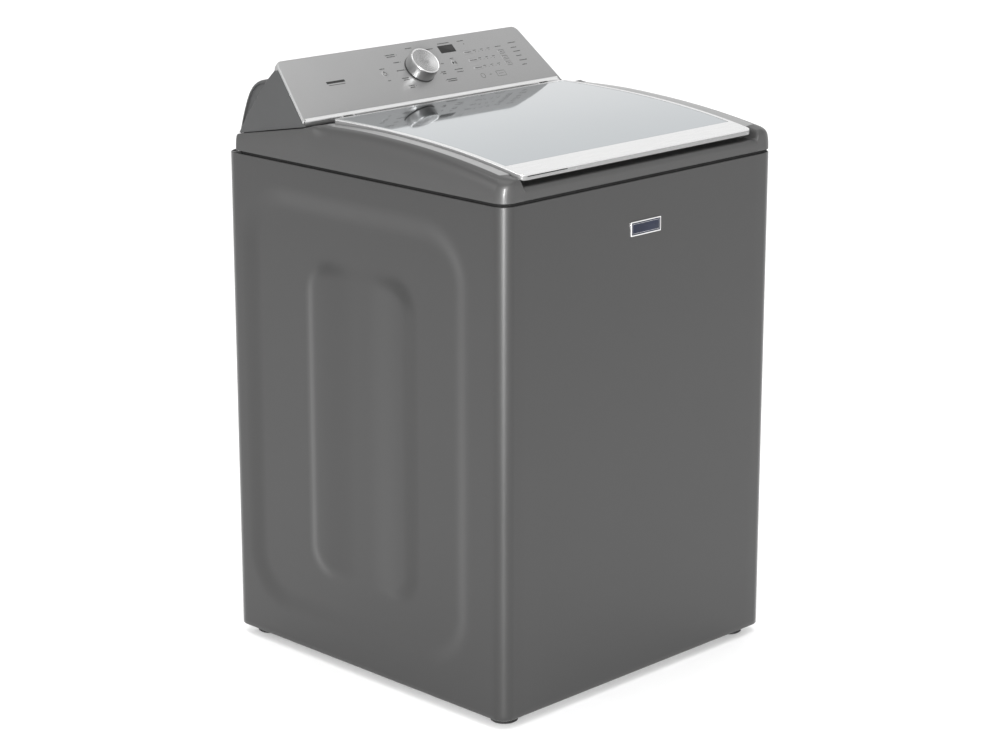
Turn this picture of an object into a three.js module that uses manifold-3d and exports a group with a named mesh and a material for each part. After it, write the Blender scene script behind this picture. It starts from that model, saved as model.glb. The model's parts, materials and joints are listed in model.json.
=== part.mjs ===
// Top load washing machine: steel cabinet, lift-up glass lid, sloped console, suspended tub with
// basket and wash plate, and a belt drive under the tub. Millimetres, +Z up, the front faces -Y.
// The origin is on the floor, at the middle of the footprint.
import * as THREE from 'three';
import { mergeVertices } from 'three/addons/utils/BufferGeometryUtils.js';
import Module from 'manifold-3d';

const wasm = await Module();
wasm.setup();

// ---- driving dimensions -------------------------------------------------------------------
const GAP = 0.3; // between pieces that touch
const CABINET = { w: 698, d: 710, z0: 17, z1: 926, sheet: 1.2, cornerR: 26, flange: 30 };
const GUSSET = { reach: 170, z0: 899 }; // welded across the upper corners, for the rods
const BASE = { z1: 45, side: 70, rear: 50, sheet: 2, windowR: 20 }; // upturned channel round the foot
const PROUD = 2; // emblem at the front and hose threads at the back stand this far out
const HALF_W = CABINET.w / 2;
const HALF_D = CABINET.d / 2;
const REAR_PANEL_Y = 333;
const RIM = { z0: 930.5, skin: 2, rearY: 331 }; // moulded top panel above the cabinet seam
const LID = { halfW: 296, front: -345, rear: 122, thick: 9, glass: 3, borderFront: 49, border: 10 };
const RISE = { back: 111, span: 456 }; // the lid and rim climb from the front to here, then level off
const RECESS = { halfW: 299, depth: 13, scoopZ: 953, scoopY: -318, rearY: 138 };
const MOUTH = { halfW: 215, y0: -275, y1: 85, r: 120 }; // loading mouth through the top panel
const HINGE = { x: 250, y: 131, z: 1000.5, pinR: 3, barrelR: 5 };
const BLEACH = { x0: -285, x1: -232, y0: -300, y1: -255, z0: 922, z1: 963 };
const STRIKE = { x: 250, y: -280, z0: 946 };
const FASCIA = { y: 166, z: 1006, tilt: 42.7, low: 328.5, high: 305.5, slant: 128.6, skin: 3, cornerR: 14 };
const CONSOLE = { footHalfW: 343, footZ: 960, lean: 0.266, wall: 3, deckClear: 1.5 };
const KNOB = { x: 3, s: 63, r: 30.3, height: 26 };
const DISPLAY = { x: 100, s: 99.3, w: 39, h: 17.4, r: 0.8 };
const KEYS = [
  { tag: 'power', x: -82.5, s: 65, w: 15, h: 15, r: 7.4 },
  { tag: 'start_pause', x: 96, s: 65.7, w: 16, h: 15, r: 7.4 },
  { tag: 'temperature', x: 145, s: 84, w: 24, h: 8, r: 3 },
  { tag: 'soil_level', x: 145, s: 64.5, w: 24, h: 8, r: 3 },
  { tag: 'spin_speed', x: 145, s: 45.9, w: 24, h: 8, r: 3 },
  { tag: 'option_upper', x: 226.9, s: 73.8, w: 17, h: 10.5, r: 2 },
  { tag: 'option_middle', x: 226.9, s: 59.4, w: 17, h: 10.5, r: 2 },
  { tag: 'option_lower', x: 226.9, s: 45.2, w: 17, h: 10.5, r: 2 },
];
const KEY_FLANGE = 1.5;
const TUB = { y: -10, r: 300, wall: 4, z0: 300, z1: 872, mouthR: 225, ringZ1: 900 };
const BASKET = { r: 272, wall: 1.2, z0: 330, z1: 838, base: 2 };
const ROD = { x: 285, front: -285, rear: 265, r: 4, z0: 268, z1: 914, hangZ: 905, earZ: 400 };
const SPRING = { inner: 12, outer: 17, z0: 280 };
const DRIVE = { z: 178, thick: 18, pulleyR: 110, motorR: 18, motorX: 195 };
const FOOT = { x: 303, y: 311, padR: 25, studR: 5, top: 58 };
const PORTS = { z: 868, hot: -250, cold: -200, drainX: -110, drainZ: 850, cordX: 240 };

// ---- materials -----------------------------------------------------------------------------
function finish(color, roughness, metalness) {
  return { color, roughness, metalness };
}
const SLATE_PAINT = finish('#6a6a6c', 0.42, 0.55);
const SLATE_PLASTIC = finish('#626264', 0.5, 0.2);
const SILVER_FASCIA = finish('#aaacad', 0.42, 0.5);
const SATIN_METAL = finish('#e4e6e8', 0.25, 0.9);
const SPUN_ALUMINIUM = finish('#c8cacc', 0.2, 1.0);
const LID_GLASS = finish('#c4c9cb', 0.06, 0.1);
const BLACK_PLASTIC = finish('#1b1b1d', 0.5, 0.0);
const WHITE_PLASTIC = finish('#dcdcda', 0.5, 0.0);
const STAINLESS = finish('#b8bbbd', 0.3, 1.0);
const ZINC_STEEL = finish('#9da1a4', 0.45, 0.9);
const CAST_ALUMINIUM = finish('#8f9294', 0.55, 0.9);
const BLACK_RUBBER = finish('#161616', 0.85, 0.0);
const BOARD_GREEN = finish('#2d5a3a', 0.6, 0.0);
const BRASS = finish('#b89a55', 0.35, 0.9);
const NAVY_ENAMEL = finish('#20242f', 0.25, 0.3);

// ---- geometry helpers ----------------------------------------------------------------------
function weld(geometry) {
  const bare = geometry.index ? geometry.clone() : mergeVertices(geometry.clone());
  bare.deleteAttribute('normal');
  bare.deleteAttribute('uv');
  return mergeVertices(bare, 1e-4);
}

function signedVolume(geometry) {
  const p = geometry.getAttribute('position');
  const corner = [new THREE.Vector3(), new THREE.Vector3(), new THREE.Vector3()];
  let volume = 0;
  for (let i = 0; i < geometry.index.count; i += 3) {
    corner.forEach((v, k) => v.fromBufferAttribute(p, geometry.index.getX(i + k)));
    volume += corner[0].dot(corner[1].clone().cross(corner[2])) / 6;
  }
  return volume;
}

// One closed skin with its faces pointing out, whichever way its outline was drawn.
function solid(geometry) {
  const closed = weld(geometry);
  if (signedVolume(closed) < 0) {
    const flipped = Array.from(closed.index.array);
    for (let i = 0; i < flipped.length; i += 3) {
      [flipped[i], flipped[i + 1]] = [flipped[i + 1], flipped[i]];
    }
    closed.setIndex(flipped);
  }
  return closed;
}

function toManifold(geometry) {
  const closed = solid(geometry);
  const vertProperties = new Float32Array(closed.getAttribute('position').array);
  const triVerts = new Uint32Array(closed.index.array);
  return new wasm.Manifold(new wasm.Mesh({ numProp: 3, vertProperties, triVerts }));
}

function fromManifold(body) {
  const mesh = body.getMesh();
  const geometry = new THREE.BufferGeometry();
  geometry.setAttribute('position', new THREE.BufferAttribute(mesh.vertProperties, 3));
  geometry.setIndex(Array.from(mesh.triVerts));
  return geometry;
}

function combine(first, others, how) {
  return fromManifold(others.reduce((body, other) => body[how](toManifold(other)), toManifold(first)));
}
const join = (first, ...others) => combine(first, others, 'add');
const cut = (first, ...others) => combine(first, others, 'subtract');
const common = (first, ...others) => combine(first, others, 'intersect');

function polygon(points) {
  return new THREE.Shape(points.map(([x, y]) => new THREE.Vector2(x, y)));
}

function extrude(shape, depth, curveSegments = 4) {
  return new THREE.ExtrudeGeometry(shape, { depth, bevelEnabled: false, curveSegments });
}

function prismZ(shape, z0, z1, curveSegments) {
  return extrude(shape, z1 - z0, curveSegments).translate(0, 0, z0);
}

// A (y, z) outline carried from x0 to x1.
function prismX(points, x0, x1) {
  const axes = new THREE.Matrix4().makeBasis(
    new THREE.Vector3(0, 1, 0), new THREE.Vector3(0, 0, 1), new THREE.Vector3(1, 0, 0));
  return extrude(polygon(points), x1 - x0).applyMatrix4(axes).translate(x0, 0, 0);
}

// An (x, z) outline carried from y0 to y1.
function prismY(points, y0, y1) {
  const axes = new THREE.Matrix4().makeBasis(
    new THREE.Vector3(1, 0, 0), new THREE.Vector3(0, 0, 1), new THREE.Vector3(0, -1, 0));
  return extrude(polygon(points), y1 - y0).applyMatrix4(axes).translate(0, y1, 0);
}

function block(x0, x1, y0, y1, z0, z1) {
  const size = new THREE.BoxGeometry(x1 - x0, y1 - y0, z1 - z0);
  return size.translate((x0 + x1) / 2, (y0 + y1) / 2, (z0 + z1) / 2);
}

// Turned piece about Z from a closed (radius, height) profile.
function turned(profile, segments = 32) {
  const points = profile.map(([r, z]) => new THREE.Vector2(r, z));
  return new THREE.LatheGeometry(points, segments).rotateX(Math.PI / 2);
}

function disc(r, z0, z1, segments = 24) {
  return turned([[0, z0], [r, z0], [r, z1], [0, z1]], segments);
}

function tube(inner, outer, z0, z1, segments = 24) {
  return turned([[inner, z0], [outer, z0], [outer, z1], [inner, z1], [inner, z0]], segments);
}

// A round rod from one point along Y or X, for pins and ports.
function rodX(r, x0, x1, y, z, segments = 10) {
  return disc(r, x0, x1, segments).rotateY(Math.PI / 2).translate(0, y, z);
}
function rodY(r, y0, y1, x, z, segments = 12) {
  return disc(r, -y1, -y0, segments).rotateX(Math.PI / 2).translate(x, 0, z);
}

function roundedRect(x0, x1, y0, y1, r) {
  const shape = new THREE.Shape();
  shape.moveTo(x0 + r, y0);
  shape.lineTo(x1 - r, y0);
  shape.absarc(x1 - r, y0 + r, r, -Math.PI / 2, 0);
  shape.lineTo(x1, y1 - r);
  shape.absarc(x1 - r, y1 - r, r, 0, Math.PI / 2);
  shape.lineTo(x0 + r, y1);
  shape.absarc(x0 + r, y1 - r, r, Math.PI / 2, Math.PI);
  shape.lineTo(x0, y0 + r);
  shape.absarc(x0 + r, y0 + r, r, Math.PI, 1.5 * Math.PI);
  return shape;
}

function add(group, name, geometry, look) {
  const mesh = new THREE.Mesh(solid(geometry), new THREE.MeshStandardMaterial(look));
  mesh.name = name;
  group.add(mesh);
  return mesh;
}

// ---- shared surfaces -----------------------------------------------------------------------
const climb = (y) => Math.max(0, (RISE.back - y) / RISE.span);
const lidTop = (y) => 1006 - 35 * climb(y) ** 2.5;
const rimTop = (y) => 1005 - 28 * climb(y) ** 2.2;
const deckTop = (y) => 993.5 - (y - RECESS.rearY) * 0.182; // slope that the console stands on

// Evenly spaced stations from front to back, with the given surface height at each.
function stations(y0, y1, count, height) {
  return Array.from({ length: count + 1 }, (_, i) => {
    const y = y0 + ((y1 - y0) * i) / count;
    return [y, height(y)];
  });
}

// A sheet between two offsets below a surface, from front to back and x0 to x1.
function curvedSheet(x0, x1, y0, y1, height, upper, lower, count = 9) {
  const top = stations(y0, y1, count, (y) => height(y) - upper);
  const bottom = stations(y0, y1, count, (y) => height(y) - lower);
  return prismX([...bottom, ...top.reverse()], x0, x1);
}

// ---- cabinet -------------------------------------------------------------------------------
function cabinetWrap() {
  const { w, d, z0, z1, sheet, cornerR, flange } = CABINET;
  const outer = roundedRect(-w / 2, w / 2, -d / 2, d / 2, cornerR);
  const inner = roundedRect(
    -w / 2 + sheet, w / 2 - sheet, -d / 2 + sheet, d / 2 - sheet, cornerR - sheet);
  const back = HALF_W - flange;
  const wallX = HALF_W - sheet / 2;
  const gusset = (side, y, rearward) => {
    const x = side * wallX;
    const { reach } = GUSSET;
    const outline = polygon([[x, y], [x, y - rearward * reach], [x - side * reach, y]]);
    return prismZ(outline, GUSSET.z0, ROD.hangZ - 0.5);
  };
  const plates = [-1, 1].flatMap((side) => [
    gusset(side, -HALF_D + sheet / 2, -1),
    gusset(side, REAR_PANEL_Y - 1, 1),
  ]);
  const holes = rodPlaces().map(({ x, y }) => disc(7, 890, 910, 12).translate(x, y, 0));
  const shell = cut(
    prismZ(outer, z0, z1, 6), prismZ(inner, z0 - 1, z1 + 1, 6),
    block(-back, back, HALF_D - 10, HALF_D + 1, z0 - 1, z1 + 1));
  const gussets = plates.map((plate) => common(plate, prismZ(outer, z0, z1, 6)));
  return cut(join(shell, ...gussets), ...holes);
}

function rodPlaces() {
  return [
    { tag: 'front_left', x: -ROD.x, y: ROD.front },
    { tag: 'front_right', x: ROD.x, y: ROD.front },
    { tag: 'rear_left', x: -ROD.x, y: ROD.rear },
    { tag: 'rear_right', x: ROD.x, y: ROD.rear },
  ];
}

function footPlaces() {
  return [
    { tag: 'front_left', x: -FOOT.x, y: -FOOT.y },
    { tag: 'front_right', x: FOOT.x, y: -FOOT.y },
    { tag: 'rear_left', x: -FOOT.x, y: FOOT.y },
    { tag: 'rear_right', x: FOOT.x, y: FOOT.y },
  ];
}

function rearPanel() {
  const edge = HALF_W - CABINET.sheet - 1;
  const sheet = block(-edge, edge, REAR_PANEL_Y, REAR_PANEL_Y + 1.5, CABINET.z0 + 30, CABINET.z1);
  const hole = (r, x, z) => rodY(r, REAR_PANEL_Y - 5, REAR_PANEL_Y + 5, x, z);
  return cut(
    sheet, hole(14, PORTS.hot, PORTS.z), hole(14, PORTS.cold, PORTS.z),
    hole(18, PORTS.drainX, PORTS.drainZ), hole(12, PORTS.cordX, PORTS.z));
}

// A channel open at the top: a sole plate with a rim at its outer edge and one round the window.
function baseFrame() {
  const { z1, side, rear, sheet, windowR } = BASE;
  const edge = HALF_W - CABINET.sheet - GAP;
  const front = -HALF_D + CABINET.sheet + GAP;
  const back = REAR_PANEL_Y - GAP;
  const corner = CABINET.cornerR - CABINET.sheet;
  const ring = (inset) => roundedRect(
    -edge + inset, edge - inset, front + inset, back - inset, corner - inset);
  const window = (grow) => roundedRect(
    -edge + side - grow, edge - side + grow, front + side - grow, back - rear + grow, windowR + grow);
  const trough = cut(prismZ(ring(sheet), CABINET.z0 + sheet, z1 + 5), prismZ(window(sheet), 0, z1 + 10));
  const studs = footPlaces().map(({ x, y }) => disc(FOOT.studR + 0.4, 10, 50, 12).translate(x, y, 0));
  return cut(prismZ(ring(0), CABINET.z0, z1), trough, prismZ(window(0), 10, z1 + 5), ...studs);
}

function levellingFoot() {
  const { padR, studR, top } = FOOT;
  const pad = turned([
    [0, 0], [padR, 0], [padR, 7], [padR - 6, 10], [11, 10], [11, 16.5],
    [studR, 16.5], [studR, top], [0, top],
  ], 12);
  return pad;
}

function suspensionRod() {
  const { r, z0, z1, hangZ } = ROD;
  return turned([
    [0, z0], [18, z0], [18, SPRING.z0 - GAP], [r, SPRING.z0 - GAP], [r, hangZ], [12, hangZ], [8, z1],
    [0, z1],
  ], 10);
}

// ---- top panel -----------------------------------------------------------------------------
const recessFloor = (y) => lidTop(y) - RECESS.depth;

function topPanel() {
  const { z0, skin, rearY } = RIM;
  const front = -HALF_D + 0.5;
  const edge = HALF_W - 0.5;
  const plan = (inset) => {
    const r = CABINET.cornerR - inset;
    const shape = roundedRect(-edge + inset, edge - inset, front + inset, rearY - inset, r);
    return prismZ(shape, z0 - 5, 1020, 5);
  };
  const rim = stations(-338, RISE.back + 6, 9, rimTop);
  const rearDeck = [[RECESS.rearY, deckTop(RECESS.rearY)], [rearY - 9, deckTop(rearY - 9)]];
  const side = [[front, z0], [front, 952], [front + 4, 969], ...rim, ...rearDeck, [rearY, 950], [rearY, z0]];
  const body = common(prismX(side, -HALF_W, HALF_W), plan(0));
  // hollow underneath: a wide space below the recess floor, and a higher one under each side rail
  const lower = stations(-300, RISE.back, 8, (y) => recessFloor(y) - skin);
  const wide = [
    [-400, z0 - 9], [-400, RECESS.scoopZ - skin], [RECESS.scoopY, RECESS.scoopZ - skin], ...lower,
    [RECESS.rearY, deckTop(RECESS.rearY) - skin], [400, deckTop(400) - skin], [400, z0 - 9]];
  const raised = stations(-330, RISE.back, 8, (y) => rimTop(y) - skin);
  const rail = [[-330, z0 - 9], ...raised, [RISE.back + 10, 985], [RISE.back + 10, z0 - 9]];
  const hollow = common(
    join(prismX(wide, -400, 400), prismX(rail, RECESS.halfW + skin, 400),
      prismX(rail, -400, -RECESS.halfW - skin)),
    plan(skin));
  // the lid lies in a recess whose front is scooped out for the fingers
  const seat = stations(-370, RISE.back, 10, recessFloor);
  const recess = prismX(
    [...seat, [RECESS.rearY + 0.5, recessFloor(RISE.back)], [RECESS.rearY + 0.5, 1030], [-370, 1030]],
    -RECESS.halfW, RECESS.halfW);
  const scoop = block(-RECESS.halfW, RECESS.halfW, -400, RECESS.scoopY, RECESS.scoopZ, 1030);
  const mouth = prismZ(roundedRect(-MOUTH.halfW, MOUTH.halfW, MOUTH.y0, MOUTH.y1, MOUTH.r), 900, 1030, 6);
  const cup = block(
    BLEACH.x0 - 0.5, BLEACH.x1 + 0.5, BLEACH.y0 - 0.5, BLEACH.y1 + 0.5, 900, 1030);
  const slot = block(STRIKE.x - 6, STRIKE.x + 6, STRIKE.y - 18, STRIKE.y + 14, 900, 1030);
  return cut(body, hollow, recess, scoop, mouth, cup, slot);
}

function bleachCup() {
  const { x0, x1, y0, y1, z0, z1 } = BLEACH;
  const outer = prismZ(roundedRect(x0, x1, y0, y1, 8), z0, z1, 2);
  const inner = prismZ(roundedRect(x0 + 2, x1 - 2, y0 + 2, y1 - 2, 6), z0 + 3, z1 + 5, 2);
  return cut(outer, inner, disc(6, z0 - 2, z0 + 5, 12).translate((x0 + x1) / 2, (y0 + y1) / 2, 0));
}

function lidLockHousing() {
  const { x, y } = STRIKE;
  const body = block(x - 22, x + 26, y - 30, y + 26, 920, 955);
  return cut(body, block(x - 7, x + 7, y - 19, y + 15, 930, 960));
}

// ---- lid -----------------------------------------------------------------------------------
function lidOutline(inset, front, rear, z0 = 930, z1 = 1030) {
  const half = LID.halfW - inset;
  return prismZ(roundedRect(-half, half, front, rear, Math.max(4, 12 - inset)), z0, z1, 3);
}

function lidFrame() {
  const { halfW, front, rear, thick, glass } = LID;
  const slab = curvedSheet(-halfW, halfW, front, rear, lidTop, glass + GAP, thick, 12);
  return common(slab, lidOutline(0, front, rear));
}

function lidGlass() {
  const { halfW, front, rear, glass, border, borderFront } = LID;
  const pane = curvedSheet(-halfW, halfW, front, rear, lidTop, 0, glass, 12);
  return common(pane, lidOutline(border, front + borderFront, rear - border));
}

function lidTrim() {
  const { halfW, front, rear, glass, border, borderFront } = LID;
  const sheet = curvedSheet(-halfW, halfW, front, rear, lidTop, 0, glass, 12);
  const window = lidOutline(border - GAP, front + borderFront - GAP, rear - border + GAP);
  return cut(common(sheet, lidOutline(0, front, rear)), window);
}

function hingeBracket(x) {
  const { y, z, pinR, barrelR } = HINGE;
  const foot = 993.4;
  const base = block(x - 16, x + 16, y - 6, y + 10, foot, foot + 1.6);
  const ear = (cx) => join(
    rodX(barrelR, cx - 2, cx + 2, y, z), block(cx - 2, cx + 2, y - barrelR, y + barrelR, foot + 0.2, z));
  return join(base, ear(x - 13), ear(x + 13), rodX(pinR, x - 12, x + 12, y, z));
}

function hingeArm(x) {
  const { y, z, pinR, barrelR } = HINGE;
  const barrel = rodX(barrelR, x - 10, x + 10, y, z + 0.6);
  const knuckle = join(barrel, block(x - 10, x + 10, y - 8.5, y - 2, z - 1.8, z + 3));
  return cut(knuckle, rodX(pinR + 0.4, x - 11, x + 11, y, z));
}

function lidStrike() {
  const { x, y, z0 } = STRIKE;
  const under = lidTop(y - 8) - LID.thick - 0.5;
  return block(x - 2, x + 2, y - 8, y + 8, z0, under);
}

// ---- console -------------------------------------------------------------------------------
const tilt = THREE.MathUtils.degToRad(FASCIA.tilt);
// A point of the fascia's own frame (s up the slope, n out of it) as (y, z).
const onSlope = (s, n) => [
  FASCIA.y + s * Math.cos(tilt) - n * Math.sin(tilt),
  FASCIA.z + s * Math.sin(tilt) + n * Math.cos(tilt),
];
const consoleBase = (y) => deckTop(y) + CONSOLE.deckClear;
const consoleHalfW = (z) => CONSOLE.footHalfW - CONSOLE.lean * (z - CONSOLE.footZ);

function padOutline({ x, s, w, h, r }, grow = 0) {
  return roundedRect(x - w / 2 - grow, x + w / 2 + grow, s - h / 2 - grow, s + h / 2 + grow, r + grow);
}

const padFacets = ({ r }) => (r > 5 ? 3 : 1); // curve steps in each corner

// A cap flush in the fascia, with a flange behind it that keeps it from falling out.
function flangedPad(spec, top, flangeZ1, flangeZ0) {
  return join(
    prismZ(padOutline(spec), flangeZ1 - 0.1, top, padFacets(spec)),
    prismZ(padOutline(spec, KEY_FLANGE), flangeZ0, flangeZ1, padFacets(spec)));
}

function fasciaPlate() {
  const { low, high, slant, skin, cornerR } = FASCIA;
  const side = Math.atan2(slant, low - high);
  const across = cornerR * Math.tan((Math.PI - side) / 2);
  const outline = new THREE.Shape();
  outline.moveTo(-low - 1, -6);
  outline.lineTo(low + 1, -6);
  outline.lineTo(low, 0);
  outline.lineTo(high + across * Math.cos(side), slant - across * Math.sin(side));
  outline.quadraticCurveTo(high, slant, high - across, slant);
  outline.lineTo(-high + across, slant);
  outline.quadraticCurveTo(-high, slant, -high - across * Math.cos(side), slant - across * Math.sin(side));
  outline.lineTo(-low, 0);
  const holes = [...KEYS, DISPLAY].map((spec) => prismZ(padOutline(spec, GAP), -20, 20, padFacets(spec)));
  const shaft = disc(8, -20, 20, 10).translate(KNOB.x, KNOB.s, 0);
  const plate = cut(prismZ(outline, -skin, 0, 4), ...holes, shaft);
  const roll = 7; // the lower edge rolls over towards the lid
  const arc = (r) => Array.from({ length: 5 }, (_, i) => {
    const a = (i * Math.PI) / 8;
    return [-6 - r * Math.sin(a), r * Math.cos(a) - roll];
  });
  const lip = [...arc(roll), [-6 - roll, -10], [-6 - roll + skin, -10], ...arc(roll - skin).reverse()];
  return join(plate, prismX(lip, -low - 1, low + 1));
}

function endCap(sign) {
  const front = onSlope(-9, -3.8);
  const apex = onSlope(118, -3.8);
  const outline = [
    [147, consoleBase(147)], [322, consoleBase(322)], [310, 992], [272, 1060], apex, front, [152, front[1] - 1]];
  const { footHalfW, wall, footZ, lean } = CONSOLE;
  const slab = prismX(outline, footHalfW - wall, footHalfW);
  const leanIn = new THREE.Matrix4().makeShear(0, 0, 0, 0, 0, 0);
  leanIn.elements[8] = -lean; // x moves in as z rises
  slab.translate(0, 0, -footZ).applyMatrix4(leanIn).translate(0, 0, footZ);
  return sign > 0 ? slab : slab.clone().scale(-1, 1, 1);
}

function rearHousing() {
  const { wall } = CONSOLE;
  const front = 262.5;
  const back = [
    [322, consoleBase(322)], [321.5, 1000], [318, 1028], [313, 1041], [304, 1049.5], [291, 1056],
    [270, 1061.5], [265.5, 1065], [264.5, 1088]];
  const outline = [[front, consoleBase(front)], ...back, [front, 1088]];
  const inner = [
    [front - 9, 900], [322 - wall, 900], [321.5 - wall, 999], [315, 1027], [310.5, 1038.5], [302, 1046.5],
    [290, 1053], [270, 1058.5], [front - 9, 1060]];
  const leaning = (inset) => {
    const half = (z) => consoleHalfW(z) - wall - 0.6 - inset;
    return prismY([[-half(900), 900], [half(900), 900], [half(1100), 1100], [-half(1100), 1100]], 200, 400);
  };
  const outer = common(prismX(outline, -400, 400), leaning(0));
  return cut(outer, common(prismX(inner, -400, 400), leaning(wall)));
}

function selectorKnob() {
  const { r, height, x, s } = KNOB;
  return turned([
    [0, 17], [3.5, 17], [3.5, 2.4], [r, 2.4], [r - 0.8, height - 1], [r - 1.8, height],
    [r - 3.4, height - 0.5], [15, height - 4.6], [0, height - 5.6],
  ], 24).translate(x, s, 0);
}

function controlBoard() {
  const { x, s } = KNOB;
  const plate = block(-110, 290, 22, 116, -16, -14);
  const encoder = disc(10, -14.1, -5, 12).translate(x, s, 0);
  return cut(join(plate, encoder), disc(3.5, -20, 0, 12).translate(x, s, 0));
}

// ---- tub, basket and wash plate -------------------------------------------------------------
function outerTub() {
  const { r, wall, z0, z1, y } = TUB;
  const shell = turned([
    [32, z0], [r - 40, z0], [r, z0 + 40], [r, z1 - 6], [r + 3, z1 - 6], [r + 3, z1],
    [r - wall, z1], [r - wall, z0 + 42], [r - 42, z0 + 6], [32, z0 + 6], [32, z0],
  ], 32);
  const ears = rodPlaces().map((place) => {
    const reach = Math.hypot(place.x, place.y - y);
    const arm = block(r - 2, reach + 22, -24, 24, ROD.earZ + GAP, ROD.earZ + 9);
    const rib = block(r - 2, reach - 14, -4, 4, ROD.earZ + 8, ROD.earZ + 70);
    return join(arm, rib).rotateZ(Math.atan2(place.y - y, place.x));
  });
  const holes = rodPlaces().map((place) => disc(9, 390, 420, 12).translate(place.x, place.y - y, 0));
  return cut(join(shell, ...ears), ...holes).translate(0, y, 0);
}

function tubRing() {
  const { r, wall, z1, mouthR, ringZ1, y } = TUB;
  return turned([
    [r + 3, z1 + GAP], [r + 3, z1 + 6], [r - 30, ringZ1], [mouthR, ringZ1 - 4], [mouthR, ringZ1 - 10],
    [r - 34, ringZ1 - 6], [r - wall - 4, z1 + GAP], [r + 3, z1 + GAP],
  ], 32).translate(0, y, 0);
}

function basketShell() {
  const { r, wall, z0, z1, base } = BASKET;
  return turned([
    [26, z0], [r - 30, z0], [r, z0 + 30], [r, z1], [r - wall, z1], [r - wall, z0 + 31],
    [r - 31, z0 + base], [26, z0 + base], [26, z0],
  ], 32).translate(0, TUB.y, 0);
}

function balanceRing() {
  const { r, z1 } = BASKET;
  return turned([
    [r + 2, z1 + GAP], [r + 2, z1 + 34], [r - 12, z1 + 42], [r - 42, z1 + 34], [r - 42, z1 + 6],
    [r - 30, z1 + GAP], [r + 2, z1 + GAP],
  ], 32).translate(0, TUB.y, 0);
}

function washPlate() {
  const floor = BASKET.z0 + 16;
  const plate = turned([
    [0, floor], [210, floor + 8], [222, floor + 18], [214, floor + 26], [150, floor + 18], [60, floor + 22],
    [38, floor + 62], [20, floor + 74], [0, floor + 76],
  ], 24);
  const fin = prismX([[34, 0], [196, 0], [190, 20], [34, 54]], -9, 9);
  const fins = Array.from({ length: 6 }, (_, i) => fin.clone().translate(0, 0, floor + 14)
    .rotateZ((i * Math.PI) / 3));
  const socket = disc(12.6, floor - 5, floor + 40, 16);
  const underside = turned([
    [48, floor - 5], [200, floor - 5], [200, floor + 13], [150, floor + 13.5], [62, floor + 17.5],
    [48, floor + 22], [48, floor - 5],
  ], 24);
  return cut(join(plate, ...fins), socket, underside).translate(0, TUB.y, 0);
}

function driveShaft() {
  const foot = DRIVE.z - 4;
  const head = BASKET.z0 + 50;
  return turned([[0, foot], [12, foot], [12, head], [0, head]], 16).translate(0, TUB.y, 0);
}

// ---- drive under the tub --------------------------------------------------------------------
function driveFrame() {
  const plate = roundedRect(-80, DRIVE.motorX + 75, -80, 80, 30);
  const left = roundedRect(-215, -60, -45, 45, 20);
  const shell = join(prismZ(plate, 288, 297, 3), prismZ(left, 288, 297, 3));
  return cut(shell, disc(70, 280, 300, 24)).translate(0, TUB.y, 0);
}

function gearcase() {
  return turned([
    [14, 205], [40, 205], [52, 220], [52, 262], [64, 280], [64, 296.5], [30, 296.5], [30, 322], [14, 322],
    [14, 205],
  ], 20).translate(0, TUB.y, 0);
}

function motor() {
  const can = turned([[5, 206], [50, 206], [62, 216], [62, 280], [54, 287.5], [5, 287.5], [5, 206]], 18);
  return can.translate(DRIVE.motorX, TUB.y, 0);
}

function drainPump() {
  const body = disc(38, 232, 287.5, 20);
  const spout = rodX(12, 30, 66, 0, 246);
  const inlet = disc(15, 205, 240, 16);
  const bore = join(rodX(9, 20, 80, 0, 246), disc(11, 195, 250, 16));
  return cut(join(body, spout, inlet), bore).rotateZ(Math.PI / 2).translate(-160, TUB.y, 0);
}

function pulley(rim, bore, z, web) {
  const t = DRIVE.thick;
  const hub = Math.min(rim - 5, bore + 12);
  return turned([
    [bore, z], [hub, z], [hub, z + t / 2 - web], [rim - 9, z + t / 2 - web], [rim - 9, z], [rim, z], [rim - 3, z + 3],
    [rim - 3, z + t - 3], [rim, z + t], [rim - 9, z + t], [rim - 9, z + t / 2 + web], [hub, z + t / 2 + web],
    [hub, z + t], [bore, z + t], [bore, z],
  ], 20);
}

function motorPulley() {
  const { z, thick, motorR, motorX } = DRIVE;
  return turned([
    [0, z], [motorR, z], [motorR - 3, z + 3], [motorR - 3, z + thick - 3], [motorR, z + thick],
    [4.5, z + thick], [4.5, z + thick + 40], [0, z + thick + 40],
  ], 16).translate(motorX, TUB.y, 0);
}

// The belt runs in both pulley grooves, so its outline is two arcs joined by their common tangents.
function driveBelt() {
  const { z, pulleyR, motorR, motorX } = DRIVE;
  const loop = (offset) => {
    const big = pulleyR - 3 + offset;
    const small = motorR - 3 + offset;
    const wrap = Math.acos((big - small) / motorX);
    const shape = new THREE.Shape();
    shape.absarc(motorX, 0, small, -wrap, wrap);
    shape.absarc(0, 0, big, wrap, 2 * Math.PI - wrap);
    return shape;
  };
  const band = cut(prismZ(loop(4), z + 5, z + 13, 9), prismZ(loop(GAP + 1.4), z, z + 20, 9));
  return band.translate(0, TUB.y, 0);
}

// ---- services at the back -------------------------------------------------------------------
function waterInletValve() {
  const { hot, cold, z } = PORTS;
  const body = block(hot - 20, cold + 20, 296, 322, z - 17, z + 17);
  const coil = (x) => disc(11, z - 46, z - 16, 12).translate(x, 309, 0);
  const thread = (x) => rodY(12.5, 321, HALF_D + PROUD, x, z);
  const bore = (x) => rodY(9, 312, 380, x, z, 12);
  return cut(join(body, coil(hot), coil(cold), thread(hot), thread(cold)), bore(hot), bore(cold));
}

function drainOutlet() {
  const spout = (r, y0, y1) => rodY(r, y0, y1, PORTS.drainX, PORTS.drainZ);
  return cut(
    join(spout(16, 305, HALF_D - 3), spout(24, REAR_PANEL_Y - 4, REAR_PANEL_Y - GAP)), spout(12.5, 300, 380));
}

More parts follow.
